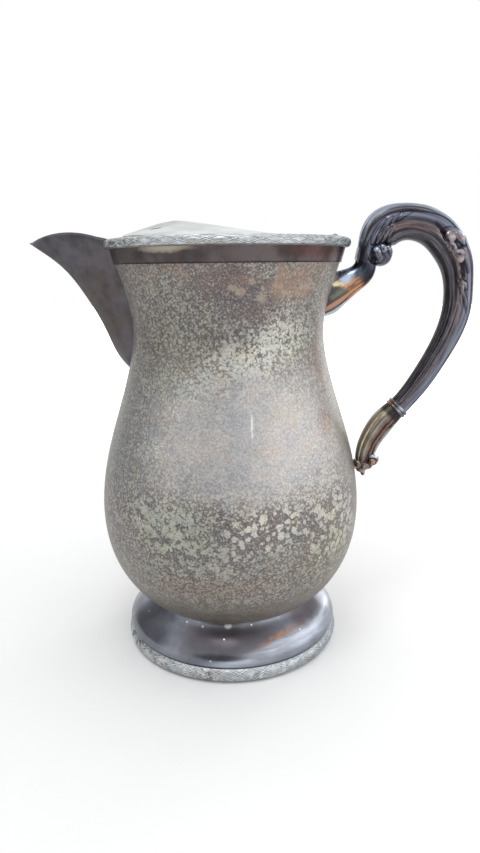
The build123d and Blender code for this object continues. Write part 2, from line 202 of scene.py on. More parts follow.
# ---------------------------------------------------------------- material tools
class Finish:
    """One procedural metal finish, built node by node round its shader, with places and sizes in millimetres."""

    def __init__(self, name, metallic, roughness):
        self.material = bpy.data.materials.new(name)
        self.material.use_nodes = True
        tree = self.material.node_tree
        self.nodes, self.links = tree.nodes, tree.links
        self.shader = self.nodes["Principled BSDF"]
        self.shader.inputs["Metallic"].default_value = metallic
        self.shader.inputs["Roughness"].default_value = roughness
        self.place = self.vector("DIVIDE", self.node("TexCoord", {}, "Object"), (MM, MM, MM))
        self.colour = None

    def feed(self, socket, value):
        """Link a socket to another, or set its value."""
        if isinstance(value, bpy.types.NodeSocket):
            self.links.new(value, socket)
        elif socket.type == "RGBA":
            socket.default_value = (*value, 1.0)
        else:
            socket.default_value = value

    def node(self, kind, inputs, output, **options):
        """Output of a new node with its options set and its inputs fed."""
        node = self.nodes.new("ShaderNode" + kind)
        for option, value in options.items():
            setattr(node, option, value)
        for key, value in inputs.items():
            self.feed(node.inputs[key], value)
        return node.outputs[output]

    def maths(self, operation, *values):
        """Result of a sum or other operation on two or three values."""
        return self.node("Math", dict(enumerate(values)), 0, operation=operation)

    def times(self, product, *values):
        """Product of values."""
        for value in values:
            product = self.maths("MULTIPLY", product, value)
        return product

    def total(self, start, *terms):
        """Start value plus each (value, weight) term."""
        for value, weight in terms:
            start = self.maths("MULTIPLY_ADD", value, weight, start)
        return start

    def blend(self, share, first, second):
        """Value between two values."""
        return self.total(first, (share, self.maths("SUBTRACT", second, first)))

    def between(self, value, low, high, start=0.0, end=1.0):
        """Smooth step from start to end as the value goes from low to high."""
        inputs = {"Value": value, "From Min": low, "From Max": high, "To Min": start, "To Max": end}
        return self.node("MapRange", inputs, "Result", interpolation_type="SMOOTHSTEP")

    def vector(self, operation, first, second):
        """Vector that an operation makes of two vectors."""
        return self.node("VectorMath", {0: first, 1: second}, "Vector", operation=operation)

    def length(self, vector):
        """Length of a vector."""
        return self.node("VectorMath", {0: vector}, "Value", operation="LENGTH")

    def join(self, *values):
        """Vector of three values."""
        return self.node("CombineXYZ", dict(enumerate(values)), 0)

    def axis(self, name):
        """Coordinate along one axis of the jug."""
        return self.node("SeparateXYZ", {0: self.place}, name)

    def moved(self, place, size, reach):
        """Place moved about by a cloudy amount."""
        cloud = self.node("TexNoise", {"Vector": self.place, "Scale": 1 / size, "Detail": 3.0}, "Color")
        shift = self.vector("MULTIPLY", self.vector("SUBTRACT", cloud, [0.5] * 3), [2 * reach] * 3)
        return self.vector("ADD", place, shift)

    def ragged(self, size, reach):
        """Place on the jug moved about by a cloudy amount, the same shape on the near and the far side."""
        near = self.times(self.maths("ABSOLUTE", self.axis("Y")), -1.0)
        return self.moved(self.join(self.axis("X"), near, self.axis("Z")), size, reach)

    def zone(self, centre, radii, soft=0.6, place=None):
        """1 inside an ellipsoid, fading to 0 at its surface."""
        offset = self.vector("SUBTRACT", place or self.place, centre)
        return self.between(self.length(self.vector("DIVIDE", offset, radii)), 1 - soft, 1.0, 1.0, 0.0)

    def noise(self, size, detail=2.0, roughness=0.5, stretch=None, place=None):
        """Cloudy value with features of about this size, or longer along the stretched axes."""
        place = place or self.place
        place = self.vector("DIVIDE", place, stretch) if stretch else place
        inputs = {"Vector": place, "Scale": 1 / size, "Detail": detail, "Roughness": roughness}
        return self.node("TexNoise", inputs, "Fac")

    def cloudy(self, size, low, high, start=0.0, end=1.0, **texture):
        """Smooth step from start to end as a cloudy value goes from low to high."""
        return self.between(self.noise(size, **texture), low, high, start, end)

    def cells(self, size, place=None):
        """Distance from the middle of the nearest cell, in cells of about this size, and a number for each cell."""
        distance = self.node("TexVoronoi", {"Vector": place or self.place, "Scale": 1 / size}, "Distance")
        return distance, self.times(distance.node.outputs["Color"], 1.0)

    def attribute(self, name):
        """A value stored on the mesh."""
        return self.node("Attribute", {}, "Fac", attribute_name=name)

    def mix(self, share, first, second, **options):
        """Colour between two colours."""
        return self.node("Mix", {0: share, 6: first, 7: second}, 2, data_type="RGBA", **options)

    def tinted(self, share, colour, tint):
        """Colour multiplied by a tint, as far as the share says."""
        return self.mix(share, colour, tint, blend_type="MULTIPLY")

    def stripes(self, value, stops):
        """Colour that runs through the stops as the value goes from 0 to 1."""
        colour = self.node("ValToRGB", {"Fac": value}, "Color")
        ramp = colour.node.color_ramp
        while len(ramp.elements) < len(stops):
            ramp.elements.new(0.5)
        for element, (place, stop, level) in zip(ramp.elements, stops):
            element.position = place
            element.color = (*shaded(stop, level), 1.0)
        return colour

    def paint(self, colour):
        """Give the finish its colour."""
        self.colour = colour
        self.feed(self.shader.inputs["Base Color"], colour)

    def coat(self, colour, *shares):
        """Lay a colour over the present one, as far as the product of the shares."""
        self.paint(self.mix(self.times(*shares), self.colour, colour))

    def stain(self, tint, *shares):
        """Multiply the present colour by a tint, as far as the product of the shares."""
        self.paint(self.tinted(self.times(*shares), self.colour, tint))

    def roughen(self, value):
        """Give the finish a roughness that varies."""
        self.feed(self.shader.inputs["Roughness"], value)

    def bump(self, height, depth, strength):
        """Fine relief of about this depth from a height value."""
        inputs = {"Height": height, "Distance": MM * depth, "Strength": strength}
        self.feed(self.shader.inputs["Normal"], self.node("Bump", inputs, "Normal"))

    def dress(self, *nodes):
        """Give this finish to nodes of the construction model."""
        for node in nodes:
            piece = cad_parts[node]
            if not piece.data.materials:
                piece.data.materials.append(self.material)
            for slot in piece.material_slots:
                slot.material = self.material


# ---------------------------------------------------------------- mesh tools
def placed(name, data):
    """Object that holds some data, in the scene."""
    thing = bpy.data.objects.new(name, data)
    bpy.context.scene.collection.objects.link(thing)
    return thing


def grid_piece(name, places, material, marks, closed_rows=False, capped=False):
    """Smooth mesh over a grid of points whose columns close, with marks for its finish stored on the points."""
    rows, columns = places.shape[:2]
    index = np.arange(rows * columns).reshape(rows, columns)
    next_row = np.roll(index, -1, axis=0)
    next_column = np.roll(index, -1, axis=1)
    corner = np.roll(next_row, -1, axis=1)
    faces = np.stack([index, next_column, corner, next_row], axis=-1)
    if not closed_rows:
        faces = faces[:-1]
    faces = faces.reshape(-1, 4).tolist()
    if capped:
        faces += [index[0, ::-1].tolist(), index[-1].tolist()]
    mesh = bpy.data.meshes.new(name)
    mesh.from_pydata(places.reshape(-1, 3).tolist(), [], faces)
    mesh.shade_smooth()
    for mark, values in marks.items():
        stored = mesh.attributes.new(mark, "FLOAT", "POINT")
        values = np.broadcast_to(values, places.shape[:2])
        stored.data.foreach_set("value", np.ascontiguousarray(values, np.float32).ravel())
    mesh.materials.append(material)
    piece = placed(name, mesh)
    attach(piece, "jug")
    return piece


def ring_normals(places):
    """Unit normals of a grid whose rows and columns close."""
    along, around = (np.roll(places, -1, axis) - np.roll(places, 1, axis) for axis in (0, 1))
    normals = np.cross(along, around)
    return normals / np.maximum(np.linalg.norm(normals, axis=-1, keepdims=True), 1e-12)


def smooth_step(value, low, high):
    """0 below low, 1 above high, smooth between."""
    share = np.clip((value - low) / (high - low), 0, 1)
    return share * share * (3 - 2 * share)


def arc_points(start, middle, end, count):
    """Points along the circular arc through three points of a profile, counted anticlockwise."""
    start, middle, end = complex(*start), complex(*middle), complex(*end)
    slant = (end - start) / (middle - start)
    centre = start + (middle - start) * (slant - abs(slant) ** 2) / (2j * slant.imag)
    sweep = np.angle((end - centre) / (start - centre)) % FULL_TURN
    points = centre + (start - centre) * np.exp(1j * np.linspace(0, sweep, count))
    return np.stack([points.real, points.imag], axis=-1)


def natural_spline(knots, samples):
    """Points of the smooth cubic curve through the knots, their lengths along it and the knots' own lengths."""
    steps = np.linalg.norm(np.diff(knots[:, :2], axis=0), axis=1)
    length = np.concatenate([[0], np.cumsum(steps)])
    system = np.eye(len(knots))
    for i, (before, after) in enumerate(zip(steps, steps[1:]), 1):
        system[i, i - 1 : i + 2] = before, 2 * (before + after), after
    right = np.zeros_like(knots)
    right[1:-1] = 6 * np.diff(np.diff(knots, axis=0) / steps[:, None], axis=0)
    bend = np.linalg.solve(system, right)
    wanted = np.linspace(0, length[-1], samples)
    span = np.clip(np.searchsorted(length, wanted, side="right") - 1, 0, len(steps) - 1)
    step = steps[span][:, None]
    after = (wanted - length[span])[:, None]
    before = step - after
    curve = (
        (bend[span] * before**3 + bend[span + 1] * after**3) / (6 * step)
        + (knots[span] / step - bend[span] * step / 6) * before
        + (knots[span + 1] / step - bend[span + 1] * step / 6) * after
    )
    return curve, wanted, length


# ---------------------------------------------------------------- body
# zones of the body, in millimetres: middle, radii, then how much more bloom, paleness and coarse islands each has
BODY_ZONES = (
    ((9, -46, 171), (16, 16, 9), -0.28, -0.14, 0.6),
    ((-2, -50, 179), (20, 14, 9), -0.30, -0.10, 0.3),
    ((8, -47, 176), (15, 10, 6), 0.02, 0.05, 0.8),
    ((27, -41, 177), (13, 12, 9), -0.05, 0.25, 0.0),
    ((22, -38, 156), (22, 20, 14), 0.16, 0.62, 0.1),
    ((4, -45, 146), (24, 18, 12), 0.12, 0.72, 0.1),
    ((-14, -46, 137), (18, 14, 9), 0.06, 0.45, 0.0),
    ((12, -52, 112), (56, 44, 40), 0.05, 0.50, 0.0),
    ((-42, -38, 117), (18, 22, 24), -0.04, 0.00, 0.0),
    ((-36, -46, 108), (10, 20, 8), 0.14, 0.25, 0.0),
    ((-28, -54, 80), (30, 24, 16), 0.14, 0.30, 0.45),
    ((-16, -60, 66), (34, 22, 14), 0.04, 0.15, 0.5),
    ((16, -60, 78), (30, 22, 12), 0.05, 0.60, 1.2),
    ((44, -40, 72), (26, 26, 24), 0.10, 0.46, 1.2),
    ((4, -61, 68), (10, 14, 6), -0.12, 0.10, 0.6),
    ((60, -14, 108), (18, 30, 50), -0.10, -0.45, 0.0),
)
# middle, radii, strength and colour of each tint over the mottle
BODY_TINTS = (
    ((-46, -34, 112), (26, 30, 40), 0.8, (0.86, 0.90, 0.95)),
    ((-26, -42, 152), (30, 26, 34), 0.7, (0.92, 0.95, 0.88)),
    ((-24, -56, 74), (38, 26, 24), 0.8, (0.86, 0.90, 0.85)),
    ((42, -44, 60), (26, 26, 30), 0.8, (0.95, 0.94, 0.84)),
    ((30, -34, 152), (12, 16, 12), 0.7, (0.97, 0.99, 0.88)),
    ((-6, -50, 52), (44, 30, 12), 0.9, (0.90, 0.80, 0.74)),
    ((2, -50, 179), (20, 12, 8), 0.8, (0.94, 0.84, 0.82)),
    ((12, -46, 168), (14, 14, 7), 0.7, (0.94, 0.85, 0.84)),
    # the last four are painted reflections: brown, green and dark streaks along the body's edge on the handle side
    ((39, -24, 148), (5, 10, 30), 0.9, (0.88, 0.74, 0.70)),
    ((42, -33, 117), (5, 9, 17), 0.9, (0.90, 0.74, 0.66)),
    ((50, -18, 112), (14, 20, 34), 0.6, (0.92, 0.92, 0.86)),
    ((62, -12, 100), (20, 26, 44), 0.9, (0.62, 0.61, 0.58)),
)
# middle and radii of each large beige island
BODY_BLOTCHES = (
    ((2.0, -49, 177.2), (2.6, 8, 1.6)),
    ((5.0, -49, 175.6), (2.6, 8, 2.0)),
    ((13.6, -46, 173.2), (2.8, 8, 2.0)),
    ((9.6, -47, 180.0), (1.8, 8, 1.4)),
)


class JUG_OT_body(bpy.types.Operator):
    """Finish the raised body in mottled tarnish"""

    bl_idname = "jug.body"
    bl_label = "Body"

    def execute(self, context):
        patina = context.scene.jug_patina
        look = Finish("body_patina", metallic=0.45, roughness=0.5)
        height = look.axis("Z")
        ragged = look.ragged(9, 7)
        torn = look.moved(look.place, 2.0, 1.1)
        patches = look.noise(patina.patch_size / MM, detail=3.0, roughness=0.6)
        cover = look.total(patina.coverage - 0.375, (patches, 0.75))
        tone = look.times(look.between(height, 52, 108, 0.10, 0.40), look.between(height, 122, 168, 1.0, 0.14))
        middle = look.between(look.total(height, (patches, 10)), 86, 112, 0.22, 0.9)
        middle = look.times(middle, look.between(height, 124, 164, 1.0, 0.12))
        rounded = 0.0
        for centre, radii, more_bloom, paler, coarser in BODY_ZONES:
            zone = look.zone(centre, radii, 0.7, ragged)
            cover = look.total(cover, (zone, more_bloom))
            tone = look.total(tone, (zone, paler))
            rounded = look.total(rounded, (zone, coarser))
        rounded = look.maths("MINIMUM", rounded, 1.0)
        # grains of bloom, fine nearly everywhere and coarse in some zones, some paler and some duller
        distance, fine = look.cells(patina.grain_size / MM, look.moved(look.place, 1.2, 0.5))
        grains = look.total(cover, (fine, 0.40), (distance, -1.0), (1.0, 0.33))
        distance, coarse = look.cells(patina.island_size / MM, torn)
        islands = look.total(cover, (coarse, 0.50), (distance, -1.0), (1.0, 0.20))
        field = look.blend(rounded, grains, islands)
        chance = look.blend(rounded, fine, coarse)
        pale = look.between(field, -0.06, 0.12)
        edge = look.maths("SUBTRACT", look.between(field, -0.22, -0.04), pale)
        bloom = look.mix(tone, patina.bloom, patina.bloom_pale)
        bloom = look.tinted(look.between(chance, 0.36, 0.60, 0.6, 0.0), bloom, (0.76, 0.74, 0.71))
        look.paint(look.mix(middle, patina.ground, patina.ground_pale))
        look.coat(patina.outline, edge, 0.45)
        look.coat(bloom, pale)
        # hazes, tints and stains over the mottle
        haze = look.zone((10, -54, 114), (62, 48, 42), 0.72, ragged)
        haze = look.times(haze, look.between(look.total(height, (patches, 16)), 90, 104))
        look.coat(look.mix(look.cloudy(13, 0.42, 0.6, detail=4.0), patina.haze_cool, patina.haze), haze, 0.84)
        hue = look.noise(8, detail=5.0, roughness=0.65)
        look.stain((0.88, 0.90, 0.94), look.between(hue, 0.36, 0.50, 0.9, 0.0))
        look.stain((1.0, 0.94, 0.88), look.between(hue, 0.50, 0.64, 0.0, 0.9))
        lumps = look.cloudy(2.6, 0.36, 0.52, 0.8, 0.0, detail=4.0, roughness=0.7)
        look.stain((0.76, 0.73, 0.73), lumps, look.total(1.0, (haze, -0.8)))
        grain = look.noise(0.8, detail=3.0, roughness=0.7)
        look.coat(patina.outline, look.between(grain, 0.34, 0.52, 0.26, 0.0))
        look.coat(patina.fleck_and_glint, look.between(grain, 0.48, 0.66, 0.0, 0.34))
        # tints over the mottle, the last four of them painted reflections
        for centre, radii, strength, tint in BODY_TINTS:
            look.stain(tint, look.zone(centre, radii, 0.8, ragged), strength)
        beige = look.tinted(look.between(grain, 0.4, 0.6, 0.5, 0.0), patina.blotch, (0.76, 0.73, 0.70))
        for centre, radii in BODY_BLOTCHES:
            look.coat(beige, look.zone(centre, radii, 0.4, torn), 0.75)
        under_band = look.times(look.between(height, 175, 186), look.cloudy(12, 0.40, 0.58), 0.34)
        brown = look.total(under_band, (look.zone((26, -41, 177), (18, 18, 10), 0.95, ragged), 0.9))
        smooth = look.tinted(look.between(hue, 0.42, 0.6, 0.7, 0.0), patina.brown, (0.74, 0.66, 0.62))
        look.coat(smooth, look.maths("MINIMUM", brown, 0.6))
        look.coat(patina.olive, look.between(look.total(height, (patches, 16)), 44, 56, 0.6, 0.0))
        flecks = look.cloudy(0.9, 0.60, 0.68, detail=1.0)
        upper = look.zone((-23, -45.5, 127), (5, 5, 6), 0.9)
        lower = look.zone((-30, -47, 112), (6, 6, 7), 0.9)
        # painted glint: a short bright vertical mark on the belly, laid on with the real white flecks
        glint = look.times(look.zone((9.2, -52, 120.7), (0.75, 6, 7)), look.cloudy(1.6, 0.36, 0.50, 0.5, 1.0))
        look.coat(patina.fleck_and_glint, look.maths("MINIMUM", look.total(glint, (flecks, upper), (flecks, lower)), 0.95))
        look.bump(look.total(field, (grain, 0.6)), 0.08, 0.25)
        look.roughen(look.between(pale, 0.0, 1.0, 0.40, 0.52))
        look.dress("body_shell")
        return {"FINISHED"}


# ---------------------------------------------------------------- smooth plate
def plate_finish(name, colour, roughness, cloud=0.16, brushed=0.3):
    """Smooth plate with cloudy tarnish and fine polishing marks."""
    look = Finish(name, metallic=1.0, roughness=roughness)
    marks = look.noise(0.7, stretch=(1.0, 1.0, 8.0))
    light = [min(1.0, c) for c in shaded(colour, 1 + 1.6 * cloud)]
    dark = shaded(colour, 1 - 2.2 * cloud)
    look.paint(look.mix(look.cloudy(14, 0.34, 0.66, detail=4.0, roughness=0.6), dark, light))
    look.bump(marks, 0.02, brushed)
    look.roughen(look.total(roughness - 0.06, (marks, 0.12)))
    return look


class JUG_OT_spout(bpy.types.Operator):
    """Finish the beak spout, and the wire along its edge in a lighter copy of the plate as a painted highlight"""

    bl_idname = "jug.spout"
    bl_label = "Spout"

    def execute(self, context):
        plate = context.scene.jug_plate
        look = plate_finish("spout_plate", plate.spout, 0.36)
        brown = look.zone((-58, 0, 166), (20, 40, 40), 0.8, look.ragged(8, 4))
        look.coat(plate.border_low, brown, look.cloudy(5, 0.38, 0.6, 0.2, 0.9, detail=4.0))
        look.dress("spout")
        # painted highlight: the edge wire in a lighter copy of the spout's plate
        plate_finish("spout_edge_highlight", shaded(plate.spout, 1.6), 0.3).dress("spout_lip")
        return {"FINISHED"}


class JUG_OT_foot(bpy.types.Operator):
    """Finish the spun foot"""

    bl_idname = "jug.foot"
    bl_label = "Foot"

    def execute(self, context):
        plate = context.scene.jug_plate
        look = plate_finish("foot_plate", plate.foot, 0.24, cloud=0.10, brushed=0.1)
        ragged = look.ragged(6, 2)
        height, along = look.axis("Z"), look.axis("X")
        front = look.zone((-2, -44, 18), (34, 24, 10), 0.8, ragged)
        side = look.zone((38, -26, 22.5), (18, 28, 7), 0.6, ragged)
        look.coat(plate.foot_stain, look.maths("MAXIMUM", front, side), 0.8)
        # painted reflection: a bright sweep rises from the front towards the handle, with a painted orange reflection
        # along its upper edge
        top = look.between(along, -22, 30, 10.8, 19.4)
        above = look.total(height, (top, -1.0), (look.noise(5, stretch=(3.0, 1.0, 1.0)), 1.6))
        sweep = look.times(look.between(above, -2.4, 0.4, 1.0, 0.0), look.between(along, -24, 2))
        bands = look.cloudy(5, 0.38, 0.62, 0.25, 0.7, detail=3.0, stretch=(4.0, 4.0, 0.5))
        look.coat(plate.painted_highlight, sweep, look.between(above, -7.5, -3.5, 0.3, 1.0), bands)
        orange_reflection = look.times(look.between(above, -1.4, -0.2), look.between(above, 0.2, 1.6, 1.0, 0.0))
        patchy = look.cloudy(3, 0.38, 0.62, 0.25, 0.85, detail=3.0)
        look.coat(plate.brass_and_warm_reflection, orange_reflection, look.zone((24, -42, 17), (20, 18, 8), 0.9), patchy)
        look.coat(plate.socket_dark, look.between(height, 7.8, 8.9, 0.75, 0.0))
        distance, chance = look.cells(5)
        drops = look.times(look.between(distance, 0.08, 0.12, 1.0, 0.0), look.between(chance, 0.54, 0.58))
        drops = look.total(drops, (look.zone((-2.2, -42.4, 23.4), (2.2, 3, 1.7), 0.5), 0.6))
        look.coat(context.scene.jug_patina.fleck_and_glint, look.maths("MINIMUM", drops, 0.9))
        look.dress("foot")
        return {"FINISHED"}


class JUG_OT_lid(bpy.types.Operator):
    """Finish the lid with its bezel and hinge"""

    bl_idname = "jug.lid"
    bl_label = "Lid and hinge"

    def execute(self, context):
        plate = context.scene.jug_plate
        lid = plate_finish("lid_plate", plate.lid, 0.3, cloud=0.08)
        # painted shade: the left slope of the dome darker along its top
        shaded_slope = lid.zone((-38, 0, 206), (28, 26, 13), 0.5, lid.ragged(6, 3))
        lid.coat(shaded(plate.lid, 0.46), shaded_slope, lid.cloudy(6, 0.36, 0.62, 0.5, 1.0, detail=4.0))
        lid.dress("lid", "lid_bezel")
        hinge = plate_finish("hinge_plate", shaded(plate.lid, 0.8), 0.34)
        hinge.dress("lid_hinge_leaf", "fixed_hinge_leaf", "hinge_pin")
        return {"FINISHED"}


# ---------------------------------------------------------------- leaf borders
# how far the ribs run round over the border's width, in leaves, and the share of the width where they cross
RIB_RUN = 1.7
RIB_CROSSING = 0.46
# edges of a rib, middle and width of the groove beside it, in leaves
RIB_EDGES = 0.03, 0.065
GROOVE_PLACE = 0.085
GROOVE_WIDTH = 0.03
# rows of points over the rounded face of a border, and columns to each leaf
ROLL_ROWS = 44
RIM_LEAF_COLUMNS = 48
FOOT_LEAF_COLUMNS = 44


def leaf_pattern(turn, across, leaves):
    """Height of two crossing families of thin ribs with a groove on each side, over turn and width, from 0 to 1."""
    sway = RIB_RUN * (across - RIB_CROSSING)
    apart = [np.abs(line - np.round(line)) for line in (turn * leaves + sway, turn * leaves - sway)]
    nearest = np.minimum(*apart)
    rib = 1 - smooth_step(nearest, *RIB_EDGES)
    groove = np.exp(-(((nearest - GROOVE_PLACE) / GROOVE_WIDTH) ** 2))
    plump = 0.12 * smooth_step(np.minimum(apart[0] + apart[1], 1), 0.2, 0.9)
    return np.clip(0.72 + 0.28 * rib - 0.72 * groove * (1 - rib) + plump, 0, 1)


def border_finish(name, plate, brightness, mottling, grooves, rib):
    """Cast border with worn bright leaves and tarnish left in the grooves."""
    look = Finish(name, metallic=0.85, roughness=0.4)
    raised = look.attribute("raised")
    mottle = look.noise(2.4, detail=4.0, roughness=0.65)
    bright = shaded(plate.border, brightness)
    dull = shaded(bright, 1 - mottling)
    hollow = [grooves * dark + (1 - grooves) * pale for dark, pale in zip(plate.border_hollow, dull)]
    look.paint(look.mix(look.between(mottle, 0.40, 0.60), dull, bright))
    look.coat(bright, look.cloudy(17, 0.35, 0.6, 0.0, 0.6, detail=3.0))
    look.coat(shaded(plate.border_rib, rib), look.between(raised, 0.86, 1.0))
    look.coat(hollow, look.between(raised, 0.1, 0.62, 1.0, 0.0))
    look.coat(plate.border_low, look.attribute("low"), 0.85)
    look.stain((0.70, 0.73, 0.76), look.between(look.axis("X"), 12, 44))
    look.stain((1.0, 0.93, 0.84), look.cloudy(6, 0.48, 0.60, 0.0, 0.6, detail=3.0))
    look.bump(mottle, 0.05, 0.4)
    look.roughen(look.between(raised, 0.1, 0.7, 0.6, 0.36))
    return look.material


def border_ring(name, node, profile, patterned, leaves, depth, material, columns):
    """Ring turned from a closed profile, with the leaf lattice sunk into the patterned stretch of it."""
    turn = np.linspace(0, 1, columns, endpoint=False)
    angle = FULL_TURN * turn
    radius, height = profile[:, :1], profile[:, 1:]
    places = np.stack(np.broadcast_arrays(radius * np.cos(angle), radius * np.sin(angle), height), axis=-1)
    across = np.full(len(profile), -1.0)
    across[patterned] = np.linspace(0, 1, patterned.stop - patterned.start)
    leaf = leaf_pattern(turn[None, :], across[:, None], leaves)
    inside = (across >= 0)[:, None]
    fade = smooth_step(across, 0.0, 0.05)[:, None] * smooth_step(1 - across, 0.0, 0.05)[:, None]
    sunk = np.where(inside, (1 - leaf) * fade, 0.0)
    normals = ring_normals(places)
    outward = np.sign((normals[patterned][..., :2] * places[patterned][..., :2]).sum())
    places = places - normals * (outward * depth * sunk)[..., None]
    low = np.where(inside, 1 - smooth_step(across, 0.02, 0.22)[:, None], 0.5)
    marks = {"raised": np.where(inside, 1 - sunk, 0.75), "low": low}
    piece = grid_piece(name, places, material, marks, closed_rows=True)
    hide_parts(node)


class JUG_OT_rim(bpy.types.Operator):
    """Make the leaf border of the mouth and finish the plain band"""

    bl_idname = "jug.rim"
    bl_label = "Rim"

    def execute(self, context):
        plate, relief = context.scene.jug_plate, context.scene.jug_relief
        band = plate_finish("band_plate", plate.band, 0.3)
        height = band.axis("Z")
        uneven = band.total(height, (band.noise(5, stretch=(1.6, 1.6, 1.0)), 3.0))
        # painted reflection: pale beige patches along the top of the band at the front
        wear_and_sheen = band.zone((-21, 0, 193), (24, 60, 3.8), 0.2, band.ragged(7, 1.6))
        band.coat(plate.band_reflection, wear_and_sheen, band.between(uneven, 191.1, 191.9, 0.0, 0.9))
        band.stain((0.96, 0.62, 0.58), band.zone((34, 0, 192), (32, 70, 6), 0.5, band.ragged(4, 1.5)))
        # painted shadow: a thin dark line along the band's lower edge
        edge = band.total(height, (band.noise(1.5, detail=3.0, stretch=(1.0, 1.0, 3.0)), 0.8))
        band.coat(plate.tarnish_and_shadow, band.between(edge, 187.6, 188.3, 0.8, 0.0))
        band.dress("rim_band")
        low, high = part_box("rim_border")
        outer = high.x
        under = outer - 1.2 * MM
        crown = outer - 2.4 * MM
        inner = outer - 5.9 * MM
        opening = outer - 7.1 * MM
        ledge = low.z + 1.9 * MM
        roll = arc_points((under, low.z), (outer, (low.z + high.z) / 2), (crown, high.z), ROLL_ROWS)
        back = [(inner, high.z), (inner, ledge), (opening, ledge), (opening, low.z), ((opening + under) / 2, low.z)]
        metal = border_finish("rim_border_metal", plate, brightness=1.06, mottling=0.62, grooves=1.0, rib=1.0)
        border_ring(
            "leaf_border_of_rim", "rim_border", np.concatenate([roll, back]), slice(1, ROLL_ROWS),
            relief.rim_leaves, relief.border_depth, metal, RIM_LEAF_COLUMNS * relief.rim_leaves,
        )
        return {"FINISHED"}


class JUG_OT_foot_border(bpy.types.Operator):
    """Make the leaf border that the jug stands on"""

    bl_idname = "jug.foot_border"
    bl_label = "Foot border"

    def execute(self, context):
        plate, relief = context.scene.jug_plate, context.scene.jug_relief
        low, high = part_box("foot_border")
        outer = high.x
        inner = outer - 4.1 * MM
        sole = inner + 0.5 * MM
        crown = outer - 1.6 * MM
        roll = arc_points((sole, low.z), (outer, low.z + 4.2 * MM), (crown, high.z), ROLL_ROWS)
        back = [(inner, high.z), (inner, low.z)]
        metal = border_finish("foot_border_metal", plate, brightness=1.08, mottling=0.76, grooves=0.35, rib=0.95)
        border_ring(
            "leaf_border_of_foot", "foot_border", np.concatenate([roll, back]), slice(4, ROLL_ROWS),
            relief.foot_leaves, 0.45 * relief.border_depth, metal, FOOT_LEAF_COLUMNS * relief.foot_leaves,
        )
        return {"FINISHED"}


# ---------------------------------------------------------------- handle
# height of the upper socket and its distance from the axis, drop and lead of the heel from it, in millimetres
SOCKET_HEIGHT = 172.0
SOCKET_SIDE = 47.5
HANDLE_DROP = 83.5
HEEL_LEAD = 14.2
# thickness of the handle from the near to the far side, as a share of its width seen from the side
FATNESS = 0.84

# stations of the handle in millimetres: outwards and upwards from the upper socket, and width
SOCKET_STATIONS = (
    (-3.5, -0.2, 20.0), (1.4, 1.0, 18.2), (6.9, 4.4, 14.7), (13.5, 8.2, 11.6), (17.6, 14.6, 10.2),
)
GRIP_STATIONS = (
    (20.3, 23.2, 13.8), (25.0, 29.6, 18.2), (33.3, 32.7, 17.0), (41.8, 32.2, 16.6), (49.8, 28.6, 17.2),
    (56.0, 22.0, 17.0), (60.1, 14.0, 15.6), (61.9, 4.0, 13.8), (60.6, -7.0, 13.5), (56.4, -17.0, 12.8),
    (48.8, -29.0, 11.6), (40.0, -40.6, 11.0), (33.0, -48.5, 10.2),
)
COLLAR_STATION = (26.0, -55.2, 10.2)
HEEL_STATIONS = (
    (18.2, -62.1, 12.0), (13.3, -67.8, 11.5), (9.4, -73.6, 10.4), (6.6, -79.8, 9.2), (4.9, -84.8, 6.8),
)

# points along the handle's line, rows and columns of points of the cast pieces, and spacing in the lowest leaf
SPLINE_SAMPLES = 4000
GRIP_GRID = 760, 280
HEEL_GRID = 160, 160
SCROLL_GRID = 140, 200
LUMP_VOXEL = 0.3 * MM

# middle x and z, radius and length of the scrolls' barrels, in millimetres
UPPER_SCROLL = (71.4, 190.6, 5.7, 13.0)
LOWER_SCROLL = (71.1, 91.0, 3.7, 9.4)
# roundness of a barrel's ends, its half length before its faces are set back, and how far they are, in millimetres
BARREL_ROUNDNESS = 0.42
BARREL_HALF = 0.54
BARREL_SETBACK = 0.6


def handle_tube(first, last, rows, columns):
    """Grid of points of the handle between two stations, its outward normals, fold angles and share along it.

    The fold angle is -90 degrees at the inside of the bend, 0 at the near and far sides and 90 at the outside.
    """
    out, up, width = np.array([*SOCKET_STATIONS, *GRIP_STATIONS, COLLAR_STATION, *HEEL_STATIONS]).T
    side = SOCKET_SIDE + HEEL_LEAD * np.clip(-up / HANDLE_DROP, 0, 1)
    knots = np.stack([side + out, SOCKET_HEIGHT + up, width], axis=-1)
    dense, length, knot_lengths = natural_spline(knots, SPLINE_SAMPLES)
    wanted = np.linspace(knot_lengths[first], knot_lengths[last], rows)
    x, z, width = (MM * np.interp(wanted, length, dense[:, i]) for i in range(3))
    level = np.zeros(rows)
    centre = np.stack([x, level, z], axis=-1)[:, None, :]
    tangent = np.gradient(np.stack([x, z], axis=-1), axis=0)
    tangent /= np.linalg.norm(tangent, axis=1, keepdims=True)
    outside = np.stack([-tangent[:, 1], level, tangent[:, 0]], axis=-1)[:, None, :]
    angle = np.linspace(-math.pi / 2, 1.5 * math.pi, columns, endpoint=False)
    outward, aside = np.sin(angle)[:, None], np.cos(angle)[:, None] * (0.0, -1.0, 0.0)
    places = centre + (outside * outward + FATNESS * aside) * width[:, None, None] / 2
    normals = FATNESS * outside * outward + aside
    normals /= np.linalg.norm(normals, axis=-1, keepdims=True)
    share = (wanted - wanted[0]) / (wanted[-1] - wanted[0])
    folded = np.degrees(np.arcsin(np.clip(np.sin(angle), -1, 1)))
    return places, normals, folded[None, :], share[:, None]


def valley(folded, centre, width):
    """1 along a line at a fold angle, fading to 0 over a width in degrees."""
    return np.exp(-(((folded - centre) / width) ** 2))


def plateau(folded, low, high, soft=5.0):
    """1 between two fold angles, with soft edges."""
    return smooth_step(folded, low - soft, low + soft) * (1 - smooth_step(folded, high - soft, high + soft))


